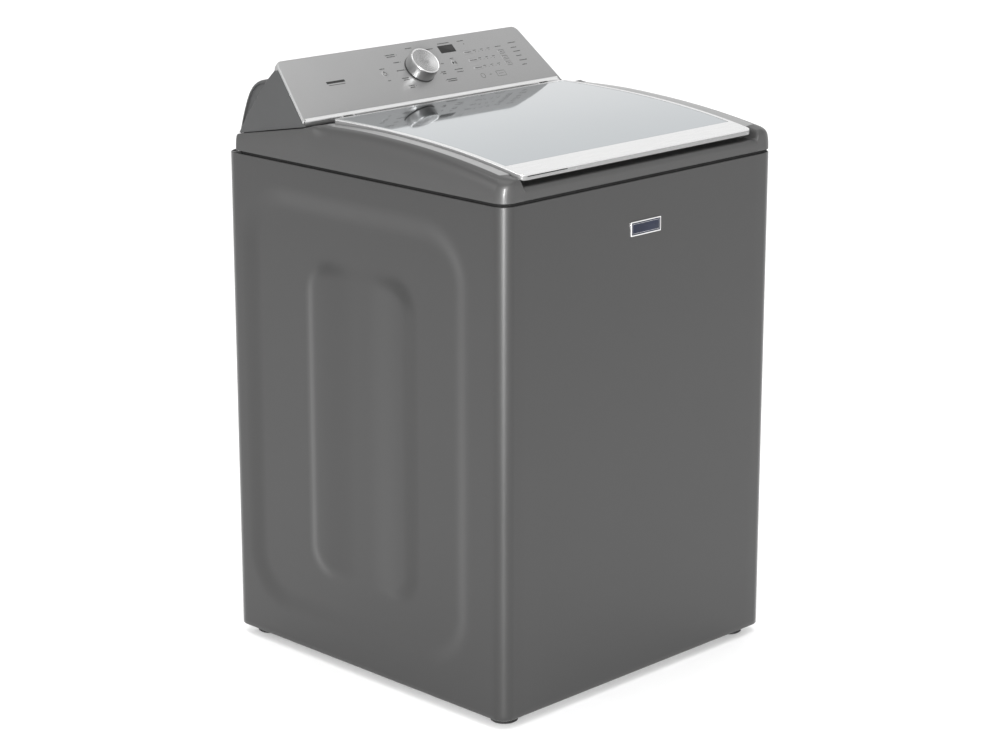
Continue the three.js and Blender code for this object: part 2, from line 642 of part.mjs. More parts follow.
function cordGland() {
  const ring = (r, y0, y1) => rodY(r, y0, y1, PORTS.cordX, PORTS.z);
  const out = REAR_PANEL_Y + 1.5 + GAP;
  return cut(
    join(ring(11.5, REAR_PANEL_Y - 6, out + 6), ring(16, out, out + 4)), ring(5, 300, 380));
}

function frontEmblem() {
  const plate = prismZ(roundedRect(-39, 39, -13, 13, 1.5), 0, PROUD - GAP, 2).rotateX(Math.PI / 2);
  return plate.translate(0, -HALF_D - GAP, 841);
}

// ---- assembly --------------------------------------------------------------------------------
const washer = new THREE.Group();

add(washer, 'cabinet_wrap', cabinetWrap(), SLATE_PAINT);
add(washer, 'rear_panel', rearPanel(), ZINC_STEEL);
add(washer, 'base_frame', baseFrame(), ZINC_STEEL);
add(washer, 'top_panel', topPanel(), SLATE_PAINT);
add(washer, 'front_emblem', frontEmblem(), NAVY_ENAMEL);
add(washer, 'bleach_cup', bleachCup(), WHITE_PLASTIC);
add(washer, 'lid_lock_housing', lidLockHousing(), BLACK_PLASTIC);
add(washer, 'water_inlet_valve', waterInletValve(), WHITE_PLASTIC);
add(washer, 'drain_outlet', drainOutlet(), BLACK_PLASTIC);
add(washer, 'cord_gland', cordGland(), BLACK_RUBBER);

for (const { tag, x, y } of footPlaces()) {
  add(washer, `levelling_foot_${tag}`, levellingFoot(), BLACK_RUBBER).position.set(x, y, 0);
}
for (const { tag, x, y } of rodPlaces()) {
  add(washer, `suspension_rod_${tag}`, suspensionRod(), ZINC_STEEL).position.set(x, y, 0);
  const spring = tube(SPRING.inner, SPRING.outer, SPRING.z0, ROD.earZ, 10);
  add(washer, `suspension_spring_${tag}`, spring, ZINC_STEEL).position.set(x, y, 0);
}

const lid = new THREE.Group();
washer.add(lid);
add(lid, 'lid_frame', lidFrame(), SLATE_PLASTIC);
add(lid, 'lid_glass', lidGlass(), LID_GLASS);
add(lid, 'lid_trim', lidTrim(), SATIN_METAL);
add(lid, 'lid_strike', lidStrike(), BLACK_PLASTIC);
for (const [tag, x] of [['left', -HINGE.x], ['right', HINGE.x]]) {
  add(lid, `lid_hinge_arm_${tag}`, hingeArm(x), BLACK_PLASTIC);
  add(washer, `lid_hinge_bracket_${tag}`, hingeBracket(x), ZINC_STEEL);
}

add(washer, 'console_end_cap_left', endCap(-1), SLATE_PLASTIC);
add(washer, 'console_end_cap_right', endCap(1), SLATE_PLASTIC);
add(washer, 'console_rear_housing', rearHousing(), SLATE_PLASTIC);

const panel = new THREE.Group(); // the fascia's own frame: X across, Y up the slope, Z out of it
panel.position.set(0, FASCIA.y, FASCIA.z);
panel.rotation.x = tilt;
washer.add(panel);
add(panel, 'console_fascia', fasciaPlate(), SILVER_FASCIA);
add(panel, 'display_window', flangedPad(DISPLAY, -0.2, -FASCIA.skin - GAP, -5), BLACK_PLASTIC);
add(panel, 'control_board', controlBoard(), BOARD_GREEN);
add(panel, 'knob_bezel', tube(8.5, KNOB.r + 0.8, GAP, 1.8, 20).translate(KNOB.x, KNOB.s, 0), BLACK_PLASTIC);
add(panel, 'selector_knob', selectorKnob(), SPUN_ALUMINIUM);
add(panel, 'selector_shaft', disc(3, -13, 16.7, 12).translate(KNOB.x, KNOB.s, 0), BRASS);
for (const spec of KEYS) {
  add(panel, `${spec.tag}_key`, flangedPad(spec, 0, -FASCIA.skin - GAP, -5), SILVER_FASCIA);
}

add(washer, 'outer_tub', outerTub(), WHITE_PLASTIC);
add(washer, 'tub_ring', tubRing(), WHITE_PLASTIC);
add(washer, 'wash_basket', basketShell(), STAINLESS);
add(washer, 'balance_ring', balanceRing(), WHITE_PLASTIC);
add(washer, 'wash_plate', washPlate(), WHITE_PLASTIC);
add(washer, 'drive_shaft', driveShaft(), ZINC_STEEL);
add(washer, 'drive_frame', driveFrame(), ZINC_STEEL);
add(washer, 'gearcase', gearcase(), CAST_ALUMINIUM);
add(washer, 'drive_pulley', pulley(DRIVE.pulleyR, 12.4, DRIVE.z, 3).translate(0, TUB.y, 0), CAST_ALUMINIUM);
add(washer, 'drive_belt', driveBelt(), BLACK_RUBBER);
add(washer, 'motor', motor(), ZINC_STEEL);
add(washer, 'motor_pulley', motorPulley(), ZINC_STEEL);
add(washer, 'drain_pump', drainPump(), BLACK_PLASTIC);

export default washer;
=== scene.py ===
"""Looks of the top load washing machine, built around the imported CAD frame. Metres throughout."""
import json
import math
import random

import bmesh
import bpy
import numpy as np
from mathutils import Matrix, Vector


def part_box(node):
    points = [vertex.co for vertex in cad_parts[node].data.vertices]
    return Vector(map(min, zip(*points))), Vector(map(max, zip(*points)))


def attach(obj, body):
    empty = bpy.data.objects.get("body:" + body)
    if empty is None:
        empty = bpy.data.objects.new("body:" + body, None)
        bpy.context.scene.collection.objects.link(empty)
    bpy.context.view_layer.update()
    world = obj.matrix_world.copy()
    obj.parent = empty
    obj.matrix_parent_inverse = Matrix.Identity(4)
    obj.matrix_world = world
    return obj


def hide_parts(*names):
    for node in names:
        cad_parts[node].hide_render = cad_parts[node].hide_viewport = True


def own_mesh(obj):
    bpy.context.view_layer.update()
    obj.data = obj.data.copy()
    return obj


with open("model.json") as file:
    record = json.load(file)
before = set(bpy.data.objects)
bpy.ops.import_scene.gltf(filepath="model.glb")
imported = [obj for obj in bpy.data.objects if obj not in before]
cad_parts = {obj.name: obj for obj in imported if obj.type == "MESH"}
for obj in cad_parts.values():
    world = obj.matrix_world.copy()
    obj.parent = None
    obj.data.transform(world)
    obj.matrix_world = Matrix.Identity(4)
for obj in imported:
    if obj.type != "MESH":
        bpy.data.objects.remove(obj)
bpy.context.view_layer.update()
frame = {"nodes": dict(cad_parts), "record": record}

MM = 0.001
SIDES = (("left", -1), ("right", 1))
CORNERS = ("front_left", "front_right", "rear_left", "rear_right")
FOOT_NODES = [f"levelling_foot_{tag}" for tag in CORNERS]
ROD_NODES = [f"suspension_rod_{tag}" for tag in CORNERS]
SPRING_NODES = [f"suspension_spring_{tag}" for tag in CORNERS]

wrap_lo, wrap_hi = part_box("cabinet_wrap")
panel_lo, panel_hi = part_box("top_panel")
lid_lo, lid_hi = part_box("lid_frame")
glass_lo, glass_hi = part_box("lid_glass")
tub_axis_y = sum(c.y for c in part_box("wash_basket")) / 2
ON_TUB_AXIS = Matrix.Translation((0, tub_axis_y, 0))
UPRIGHT = Matrix.Rotation(math.pi / 2, 4, "X")  # stands up a piece that was made lying flat

# the fascia's own frame: x across, s up its slope, n out of it
FASCIA_TILT = math.radians(42.7)
FASCIA_ORIGIN = Vector((0, 0.166, 1.006))
FASCIA_MATRIX = Matrix.Translation(FASCIA_ORIGIN) @ Matrix.Rotation(FASCIA_TILT, 4, "X")
FASCIA_SLANT = 128.6 * MM
FASCIA_LOW, FASCIA_HIGH = 328.5 * MM, 305.5 * MM  # half widths at the slope's foot and top
CONSOLE_LEAN, LEAN_FROM = 0.266, 0.960  # the ends lean in by this share of the height above that one
KNOB_X, KNOB_S = 3 * MM, 63 * MM


# ---- camera, light and floor --------------------------------------------------------------
def make_camera():
    data = bpy.data.cameras.new("camera")
    data.sensor_width = 36
    data.lens = 98.38
    data.clip_end = 50
    camera = bpy.data.objects.new("camera", data)
    bpy.context.scene.collection.objects.link(camera)
    azimuth, pitch = math.radians(45.306), math.radians(15.717)
    look = Vector((math.sin(azimuth) * math.cos(pitch), math.cos(azimuth) * math.cos(pitch),
        -math.sin(pitch)))
    camera.location = (-3.4654, -3.4295, 1.8751)
    camera.rotation_euler = look.to_track_quat("-Z", "Y").to_euler()
    bpy.context.scene.camera = camera


def area_light(name, location, target, size, power):
    data = bpy.data.lights.new(name, "AREA")
    data.shape = "RECTANGLE"
    data.size, data.size_y = size
    data.energy = power
    light = bpy.data.objects.new(name, data)
    bpy.context.scene.collection.objects.link(light)
    light.location = location
    light.rotation_euler = (Vector(target) - Vector(location)).to_track_quat("-Z", "Y").to_euler()


HORIZON, ZENITH = (0.55, 1.0), (0.85, 0.45)  # place on the height ramp, and the sky's level there


def make_light():
    scene = bpy.context.scene
    scene.view_settings.view_transform = "Standard"
    scene.view_settings.look = "None"
    world = bpy.data.worlds.new("studio")
    world.use_nodes = True
    tree = world.node_tree
    coords = tree.nodes.new("ShaderNodeTexCoord")
    split = tree.nodes.new("ShaderNodeSeparateXYZ")
    ramp = tree.nodes.new("ShaderNodeValToRGB")
    for element, (place_at, level) in zip(ramp.color_ramp.elements, (HORIZON, ZENITH)):
        element.position = place_at
        element.color = (level, level, level, 1)
    tree.links.new(coords.outputs["Generated"], split.inputs["Vector"])
    tree.links.new(split.outputs["Z"], ramp.inputs["Fac"])
    tree.links.new(ramp.outputs["Color"], tree.nodes["Background"].inputs["Color"])
    scene.world = world
    area_light("strip", (-4.6, -4.6, 1.5), (-0.3, -0.3, 0.7), (0.7, 2.6), 620)
    area_light("left", (-3.4, 1.6, 2.2), (0, 0.1, 0.6), (1.4, 1.8), 14)
    sky = bpy.data.lights.new("overhead", "SUN")
    sky.energy = 1.7
    sky.angle = math.radians(70)
    overhead = bpy.data.objects.new("overhead", sky)
    scene.collection.objects.link(overhead)
    overhead.location = (0, 0, 4)


def make_floor():
    bm = bmesh.new()
    bmesh.ops.create_grid(bm, x_segments=2, y_segments=2, size=30)
    floor = mesh_from_bmesh("studio_floor", bm, FLOOR)


# ---- node materials -----------------------------------------------------------------------
class Shade:
    """A Principled material with small helpers for the nodes that drive it."""

    def __init__(self, name):
        self.material = bpy.data.materials.new(name)
        self.material.use_nodes = True
        self.tree = self.material.node_tree
        self.bsdf = self.tree.nodes["Principled BSDF"]
        self.coords = self.tree.nodes.new("ShaderNodeTexCoord")

    def set(self, **values):
        for key, value in values.items():
            self.bsdf.inputs[key.replace("_", " ")].default_value = value
        return self

    def noise(self, scale, detail=3, stretch=(1, 1, 1)):
        mapping = self.tree.nodes.new("ShaderNodeMapping")
        mapping.inputs["Scale"].default_value = stretch
        texture = self.tree.nodes.new("ShaderNodeTexNoise")
        texture.inputs["Scale"].default_value = scale
        texture.inputs["Detail"].default_value = detail
        self.tree.links.new(self.coords.outputs["Object"], mapping.inputs["Vector"])
        self.tree.links.new(mapping.outputs["Vector"], texture.inputs["Vector"])
        return texture.outputs["Fac"]

    def cells(self, scale):
        texture = self.tree.nodes.new("ShaderNodeTexVoronoi")
        texture.inputs["Scale"].default_value = scale
        self.tree.links.new(self.coords.outputs["Object"], texture.inputs["Vector"])
        return texture.outputs["Color"]

    def ramp(self, source, low, high, start=0.3, end=0.7):
        ramp = self.tree.nodes.new("ShaderNodeValToRGB")
        ramp.color_ramp.elements[0].position = start
        ramp.color_ramp.elements[1].position = end
        ramp.color_ramp.elements[0].color = (*low, 1)
        ramp.color_ramp.elements[1].color = (*high, 1)
        self.tree.links.new(source, ramp.inputs["Fac"])
        return ramp.outputs["Color"]

    def spread(self, source, low, high):
        spread = self.tree.nodes.new("ShaderNodeMapRange")
        spread.inputs["From Min"].default_value = 0.3
        spread.inputs["From Max"].default_value = 0.7
        spread.inputs["To Min"].default_value = low
        spread.inputs["To Max"].default_value = high
        self.tree.links.new(source, spread.inputs["Value"])
        return spread.outputs["Result"]

    def color(self, output):
        self.tree.links.new(output, self.bsdf.inputs["Base Color"])

    def tone(self, source, color, low, high, start=0.3, end=0.7):
        """The colour drifts between two shares of itself."""
        self.color(self.ramp(source, tinted(color, low), tinted(color, high), start, end))

    def rough(self, source, low, high):
        self.tree.links.new(self.spread(source, low, high), self.bsdf.inputs["Roughness"])

    def bump(self, source, distance, strength=1.0):
        bump = self.tree.nodes.new("ShaderNodeBump")
        bump.inputs["Distance"].default_value = distance
        bump.inputs["Strength"].default_value = strength
        self.tree.links.new(source, bump.inputs["Height"])
        previous = self.bsdf.inputs["Normal"]
        if previous.links:
            self.tree.links.new(previous.links[0].from_socket, bump.inputs["Normal"])
        self.tree.links.new(bump.outputs["Normal"], previous)


def grey(value, warm=0.0):
    return (value * (1 + warm), value, value * (1 - warm))


def tinted(color, factor):
    return tuple(channel * factor for channel in color)


def metallic_paint(name, color, metallic=0.7, roughness=0.36, coat=0.62):
    """Sprayed paint: fine metal flake, faint orange peel and slow tone drift."""
    shade = Shade(name).set(Metallic=metallic, Coat_Weight=coat, Coat_Roughness=0.14)
    flake = shade.noise(2600, 2)
    shade.tone(flake, color, 0.9, 1.1)
    shade.rough(shade.noise(6, 3), roughness - 0.03, roughness + 0.03)
    shade.bump(shade.noise(900, 2), 0.00002)
    shade.bump(shade.noise(60, 2), 0.00006, 0.6)
    return shade.material


def moulded_plastic(name, color, roughness=0.5):
    """Injection moulded plastic with a fine spark-eroded grain."""
    shade = Shade(name).set(Specular_IOR_Level=0.45)
    shade.tone(shade.noise(9, 3), color, 0.96, 1.04)
    shade.rough(shade.noise(30, 3), roughness - 0.05, roughness + 0.05)
    shade.bump(shade.noise(1400, 3), 0.00003)
    return shade.material


def brushed_metal(name, color, roughness=0.3, stretch=(4, 400, 400), depth=0.00001):
    """Metal with fine straight brush lines along its unstretched axis."""
    shade = Shade(name).set(Metallic=1.0)
    lines = shade.noise(6, 4, stretch)
    shade.tone(lines, color, 0.93, 1.05)
    shade.rough(lines, roughness - 0.05, roughness + 0.06)
    shade.bump(lines, depth, 0.5)
    return shade.material


def galvanised(name, color):
    """Hot dipped zinc: crystal spangle of slightly different greys."""
    shade = Shade(name).set(Metallic=0.9)
    spangle = shade.cells(120)
    shade.tone(spangle, color, 0.88, 1.1, 0.2, 0.8)
    shade.rough(spangle, 0.36, 0.52)
    shade.bump(shade.noise(300, 3), 0.00003)
    return shade.material


def cast_metal(name, color):
    shade = Shade(name).set(Metallic=0.85)
    shade.tone(shade.noise(40, 4), color, 0.85, 1.15)
    shade.rough(shade.noise(90, 3), 0.5, 0.68)
    shade.bump(shade.noise(500, 4), 0.00015)
    return shade.material


def moulded_rubber(name, color):
    shade = Shade(name).set(Specular_IOR_Level=0.3)
    shade.tone(shade.noise(25, 3), color, 0.8, 1.3)
    shade.rough(shade.noise(60, 3), 0.7, 0.88)
    shade.bump(shade.noise(700, 3), 0.00008)
    return shade.material


def mirror_glass(name, color):
    """Silver backed lid glass: an almost clear mirror with a faint float-glass wave and finger film."""
    shade = Shade(name).set(Metallic=1.0, Coat_Weight=0.3, Coat_Roughness=0.03)
    shade.tone(shade.noise(3, 2), color, 0.985, 1.015)
    shade.rough(shade.noise(12, 4), 0.035, 0.06)
    shade.bump(shade.noise(5, 1), 0.00005, 0.3)
    return shade.material


def glossy_black(name, color, roughness=0.35):
    shade = Shade(name).set(Specular_IOR_Level=0.25)
    shade.tone(shade.noise(40, 2), color, 0.8, 1.2)
    shade.rough(shade.noise(80, 3), roughness * 0.7, roughness * 1.4)
    return shade.material


def spun_metal(name, color, roughness):
    """Turned face: rings round the dial's own axis, which is its mesh's Z."""
    shade = Shade(name).set(Metallic=1.0, Anisotropic=0.75)
    split = shade.tree.nodes.new("ShaderNodeSeparateXYZ")
    shade.tree.links.new(shade.coords.outputs["Object"], split.inputs["Vector"])
    radius = shade.tree.nodes.new("ShaderNodeVectorMath")
    radius.operation = "LENGTH"
    flat = shade.tree.nodes.new("ShaderNodeCombineXYZ")
    shade.tree.links.new(split.outputs["X"], flat.inputs["X"])
    shade.tree.links.new(split.outputs["Y"], flat.inputs["Y"])
    shade.tree.links.new(flat.outputs["Vector"], radius.inputs[0])
    rings = shade.tree.nodes.new("ShaderNodeTexNoise")
    rings.noise_dimensions = "1D"
    rings.inputs["Scale"].default_value = 2500
    shade.tree.links.new(radius.outputs["Value"], rings.inputs["W"])
    tangent = shade.tree.nodes.new("ShaderNodeTangent")
    tangent.direction_type = "RADIAL"
    tangent.axis = "Z"
    shade.tree.links.new(tangent.outputs["Tangent"], shade.bsdf.inputs["Tangent"])
    shade.tone(rings.outputs["Fac"], color, 0.94, 1.04)
    shade.rough(rings.outputs["Fac"], roughness - 0.04, roughness + 0.05)
    shade.bump(rings.outputs["Fac"], 0.00001, 0.6)
    return shade.material


def ink(name, color):
    shade = Shade(name).set(Specular_IOR_Level=0.3)
    shade.tone(shade.noise(2000, 2), color, 0.8, 1.3)
    shade.rough(shade.noise(500, 2), 0.5, 0.65)
    return shade.material


def studio_floor_paint():
    shade = Shade("studio_floor_paint").set(Specular_IOR_Level=0.2)
    shade.color(shade.ramp(shade.noise(2, 2), grey(0.90), grey(0.92)))
    shade.rough(shade.noise(8, 2), 0.6, 0.7)
    return shade.material


FLOOR = studio_floor_paint()
CABINET_PAINT = metallic_paint("cabinet_paint", grey(0.033, 0.005))
PANEL_PAINT = metallic_paint("panel_paint", grey(0.049, 0.005), 0.45, 0.42, 0.2)
CONSOLE_PLASTIC = moulded_plastic("console_plastic", grey(0.040, -0.015), 0.46)
FASCIA_PAINT = metallic_paint("fascia_paint", grey(0.285), 0.6, 0.34, 0.4)
# Bright metal laid on rounded edges that catch the light, on the fascia's foot roll and the end caps' rear
# edges: painted highlight.
HIGHLIGHT_EDGE_METAL = brushed_metal("fascia_edge", grey(0.82), 0.34, (4, 300, 300), depth=0.000003)
LID_FRAME_PLASTIC = moulded_plastic("lid_frame_plastic", grey(0.18), 0.42)
LID_MIRROR = mirror_glass("lid_mirror", (0.455, 0.485, 0.505))
LID_TRIM_METAL = brushed_metal("lid_trim_metal", grey(0.82), 0.24, depth=0.000002)
KNOB_FACE = spun_metal("knob_face", grey(0.40), 0.26)
KNOB_SIDE = brushed_metal("knob_side", grey(0.40), 0.36, (300, 300, 8))
KNOB_RIM = brushed_metal("knob_rim", grey(0.85), 0.22, (40, 40, 40))
BLACK_PLASTIC = moulded_plastic("black_plastic", grey(0.018), 0.5)
# Near-black rubber for the gaskets, also used for the painted shadow slit on the lid's front.
GASKET_AND_SHADOW_BLACK = moulded_rubber("gasket_and_shadow_black", grey(0.0015))
DISPLAY_BLACK = glossy_black("display_black", grey(0.012))
INK = ink("legend_ink", grey(0.012))
LINER_PLASTIC = moulded_plastic("liner_plastic", grey(0.34), 0.48)
WHITE_PLASTIC = moulded_plastic("white_plastic", grey(0.70, 0.02), 0.42)
STAINLESS = brushed_metal("stainless", grey(0.5), 0.26, (400, 400, 5))
ZINC = galvanised("zinc", grey(0.42))
CAST = cast_metal("cast_aluminium", grey(0.36))
RUBBER = moulded_rubber("rubber", grey(0.014))
BOARD = moulded_plastic("board_mask", (0.03, 0.13, 0.06), 0.4)
BRASS = brushed_metal("brass", (0.55, 0.38, 0.14), 0.3)
EMBLEM_ENAMEL = glossy_black("emblem_enamel", (0.010, 0.013, 0.026), 0.45)
EMBLEM_RIM = brushed_metal("emblem_rim", grey(0.75), 0.18)


# ---- mesh helpers -------------------------------------------------------------------------
def link(name, mesh, material):
    piece = bpy.data.objects.new(name, mesh)
    bpy.context.scene.collection.objects.link(piece)
    piece.data.materials.append(material)
    return piece


def smooth_by_angle(mesh, degrees=32):
    bm = bmesh.new()
    bm.from_mesh(mesh)
    bmesh.ops.remove_doubles(bm, verts=bm.verts, dist=1e-6)
    limit = math.radians(degrees)
    for face in bm.faces:
        face.smooth = True
    for edge in bm.edges:
        edge.smooth = len(edge.link_faces) == 2 and edge.calc_face_angle(0) < limit
    bm.to_mesh(mesh)
    bm.free()


def mesh_from_bmesh(name, bm, material):
    mesh = bpy.data.meshes.new(name)
    bm.normal_update()
    bm.to_mesh(mesh)
    bm.free()
    smooth_by_angle(mesh)
    return link(name, mesh, material)


def mesh_from_lists(name, verts, faces, material, degrees=32):
    mesh = bpy.data.meshes.new(name)
    mesh.from_pydata([tuple(v) for v in verts], [], faces)
    bm = bmesh.new()
    bm.from_mesh(mesh)
    bmesh.ops.remove_doubles(bm, verts=bm.verts, dist=1e-7)
    bmesh.ops.recalc_face_normals(bm, faces=bm.faces)
    bm.to_mesh(mesh)
    bm.free()
    smooth_by_angle(mesh, degrees)
    return link(name, mesh, material)


def settle(piece, degrees=32):
    """Applies the piece's modifiers, then sets its smooth and sharp edges."""
    bpy.context.view_layer.update()
    mesh = bpy.data.meshes.new_from_object(piece.evaluated_get(bpy.context.evaluated_depsgraph_get()))
    piece.modifiers.clear()
    piece.data = mesh
    smooth_by_angle(mesh, degrees)
    return piece


def bevelled(piece, width, segments=2, angle=35):
    bevel = piece.modifiers.new("bevel", "BEVEL")
    bevel.width = width
    bevel.segments = segments
    bevel.limit_method = "ANGLE"
    bevel.angle_limit = math.radians(angle)
    return settle(piece)


def cut_by(piece, *cutters):
    for cutter in cutters:
        boolean = piece.modifiers.new("cut", "BOOLEAN")
        boolean.object = cutter
        boolean.operation = "DIFFERENCE"
        boolean.solver = "EXACT"
    settle(piece)
    for cutter in cutters:
        bpy.data.objects.remove(cutter)
    return piece


def thickened(piece, thickness, degrees=32):
    """Gives an open sheet its thickness, inward from its outer face."""
    sheet = piece.modifiers.new("sheet", "SOLIDIFY")
    sheet.thickness = thickness
    sheet.offset = -1
    return settle(piece, degrees)


def joined(name, pieces):
    """One piece made of several that share a body."""
    with bpy.context.temp_override(active_object=pieces[0], selected_editable_objects=pieces):
        bpy.ops.object.join()
    pieces[0].name = name
    pieces[0].data.name = name
    return pieces[0]


def placed(piece, matrix):
    piece.data.transform(matrix)
    return piece


def turned(piece, angle):
    return placed(piece, Matrix.Rotation(angle, 4, "Z"))


def centre_of(node):
    lo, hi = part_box(node)
    return (lo.x + hi.x) / 2, (lo.y + hi.y) / 2


def extruded(name, points, z, height, material):
    """A flat plate or bar over a polygon."""
    bm = bmesh.new()
    face = bm.faces.new([bm.verts.new((x, y, z)) for x, y in points])
    grown = bmesh.ops.extrude_face_region(bm, geom=[face])
    raised = [v for v in grown["geom"] if isinstance(v, bmesh.types.BMVert)]
    bmesh.ops.translate(bm, verts=raised, vec=(0, 0, height))
    bmesh.ops.recalc_face_normals(bm, faces=bm.faces)
    return mesh_from_bmesh(name, bm, material)


def ring_loft(rings, closed_ends=True):
    """Vertices and faces that join equal rings of points one after another."""
    verts = [tuple(p) for ring in rings for p in ring]
    count = len(rings[0])
    faces = []
    for k in range(len(rings) - 1):
        for i in range(count):
            j = (i + 1) % count
            faces.append((k * count + i, k * count + j, (k + 1) * count + j, (k + 1) * count + i))
    if closed_ends:
        faces.append(tuple(reversed(range(count))))
        faces.append(tuple(range((len(rings) - 1) * count, len(rings) * count)))
    return verts, faces


def lathe(name, profile, material, segments=64, degrees=32):
    """A turned piece about Z from a closed or axis-to-axis (radius, height) profile."""
    angles = [2 * math.pi * i / segments for i in range(segments)]
    closed = profile[0] == profile[-1]
    points = profile[:-1] if closed else profile
    rings = [[(r * math.cos(a), r * math.sin(a), z) for a in angles] for r, z in points]
    if closed:
        rings.append(rings[0])
    return mesh_from_lists(name, *ring_loft(rings, closed_ends=False), material, degrees)


def rounded_outline(x0, x1, y0, y1, r, steps=6):
    """Points and outward normals round a rectangle with round corners, anticlockwise."""
    points = []
    for cx, cy, start in ((x1 - r, y1 - r, 0), (x0 + r, y1 - r, 90), (x0 + r, y0 + r, 180),
        (x1 - r, y0 + r, 270)):
        for k in range(steps + 1):
            a = math.radians(start + 90 * k / steps)
            points.append((cx + r * math.cos(a), cy + r * math.sin(a), math.cos(a), math.sin(a)))
    return points


def pad(name, outline, low, high, edge, material, steps=3, edge_of=None):
    """A plate with a rounded upper edge, between two heights, from outline points with normals."""
    rings = [[(x, y, low) for x, y, _, _ in outline]]
    for k in range(steps + 1):
        a = math.pi / 2 * k / steps
        ring = []
        for x, y, nx, ny in outline:
            r = edge_of(nx, ny) if edge_of else edge
            inset = r * (1 - math.cos(a))
            ring.append((x - nx * inset, y - ny * inset, high - r * (1 - math.sin(a))))
        rings.append(ring)
    return mesh_from_lists(name, *ring_loft(rings), material)


def tube_along(name, points, radius, material, sides=10, closed=False):
    """A round bar along a list of points."""
    curve = bpy.data.curves.new(name, "CURVE")
    curve.dimensions = "3D"
    curve.bevel_depth = radius
    curve.bevel_resolution = max(1, sides // 4)
    curve.use_fill_caps = True
    spline = curve.splines.new("POLY")
    spline.points.add(len(points) - 1)
    for slot, p in zip(spline.points, points):
        slot.co = (*p, 1)
    spline.use_cyclic_u = closed
    piece = bpy.data.objects.new(name, curve)
    bpy.context.scene.collection.objects.link(piece)
    bpy.context.view_layer.update()
    mesh = bpy.data.meshes.new_from_object(piece.evaluated_get(bpy.context.evaluated_depsgraph_get()))
    bpy.data.objects.remove(piece)
    mesh.materials.clear()
    smooth_by_angle(mesh, 50)
    return link(name, mesh, material)


def copy_of(node, name, material, width):
    """A CAD node's shape with its sharp edges rounded."""
    piece = bpy.data.objects.new(name, frame["nodes"][node].data.copy())
    bpy.context.scene.collection.objects.link(piece)
    piece.data.materials.clear()
    piece.data.materials.append(material)
    smooth_by_angle(piece.data)
    return bevelled(piece, width)


def place(piece, body, *nodes, slot):
    """Rides a finished piece on its body, instead of the CAD nodes named, if any are."""
    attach(piece, body)
    if nodes:
        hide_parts(*nodes)


def smoothstep(t):
    t = np.clip(t, 0, 1)
    return t * t * (3 - 2 * t)


# ---- curved surfaces that the CAD shares --------------------------------------------------
RISE_BACK, RISE_SPAN = 0.111, 0.456
RECESS_DEPTH = 13 * MM
RECESS_HALF_W = 299 * MM
RECESS_REAR = 138 * MM
SCOOP_Y, SCOOP_Z = -0.318, 0.953


def climb(y):
    return np.clip((RISE_BACK - y) / RISE_SPAN, 0, None)


def lid_top(y):
    return 1.006 - 0.035 * climb(y) ** 2.5


def deck_top(y):
    return 0.9935 - (y - RECESS_REAR) * 0.182


def inside_distance(x, y, half_w, y0, y1, r):
    """How far a point is inside a rectangle with round corners."""
    qx = np.abs(x) - half_w + r
    qy = np.abs(y - (y0 + y1) / 2) - (y1 - y0) / 2 + r
    outside = np.hypot(np.maximum(qx, 0), np.maximum(qy, 0))
    return r - outside - np.minimum(np.maximum(qx, qy), 0)


def round_over(distance, r):
    """How far a surface has dropped at that distance from an edge rounded to r."""
    reach = np.clip(r - distance, 0, r)
    return r - np.sqrt(np.maximum(r * r - reach * reach, 0))


def edge_steps(r, count):
    return [r * (1 - math.cos(math.pi / 2 * k / count)) for k in range(count + 1)]


def half_width_at(y, half_w, y0, y1, r):
    reach = np.maximum(np.maximum(y0 + r - y, y - (y1 - r)), 0)
    return half_w - r + np.sqrt(np.maximum(r * r - reach * reach, 0))


def spread_columns(half, insets, inner):
    """Mirror-symmetric x stations: insets from the outline, then fixed inner half widths."""
    right = [half - inset for inset in insets] + list(inner)
    return [-x for x in right] + list(reversed(right))


def grid_faces(rows, columns, keep):
    faces = []
    for i in range(rows - 1):
        for j in range(columns - 1):
            if keep(i, j):
                a = i * columns + j
                faces.append((a, a + 1, a + columns + 1, a + columns))
    return faces


def slab(name, top, bottom, material, keep=lambda i, j: True):
    """A closed plate between two grids of points, with holes where keep says no."""
    rows, columns = top.shape[:2]
    size = rows * columns
    verts = np.concatenate([top.reshape(-1, 3), bottom.reshape(-1, 3)])
    cells = {(i, j) for i in range(rows - 1) for j in range(columns - 1) if keep(i, j)}
    faces = []
    for i, j in sorted(cells):
        a = i * columns + j
        b, c, d = a + 1, a + columns + 1, a + columns
        faces.append((a, b, c, d))
        faces.append((d + size, c + size, b + size, a + size))
        for p, q, neighbour in ((a, b, (i - 1, j)), (b, c, (i, j + 1)), (c, d, (i + 1, j)),
            (d, a, (i, j - 1))):
            if neighbour not in cells:
                faces.append((q, p, p + size, q + size))
    return mesh_from_lists(name, verts, faces, material)


# ---- cabinet ------------------------------------------------------------------------------
FIELD_DEPTH, RIB_HEIGHT = 0.0056, 0.0050  # of the pressing in the sides
FIELD_Y, RIBS_Y = 0.020, 0.004
FIELD_SHAPE = (0.2675, 0.098, 0.857, 0.087)  # half length, bottom, top, corner radius
RIBS_SHAPE = (0.130, 0.178, 0.752, 0.05)
RIB_GAP, RIB_SLOPE = 0.020, 0.085  # half of the gap between the ribs, and the slope up from it


def side_emboss(y, z):
    """Depth of the pressing in a side panel: a sunken field, and two upright ribs standing in it."""
    outer = inside_distance(y - FIELD_Y, z, *FIELD_SHAPE)
    inner = inside_distance(y - RIBS_Y, z, *RIBS_SHAPE)
    field = smoothstep((outer + 0.024) / 0.040)
    rib_edge = smoothstep((inner + 0.012) / 0.026)
    beside = smoothstep((np.abs(y - RIBS_Y) - RIB_GAP) / RIB_SLOPE)
    return -FIELD_DEPTH * field + RIB_HEIGHT * rib_edge * (0.1 + 0.9 * beside)


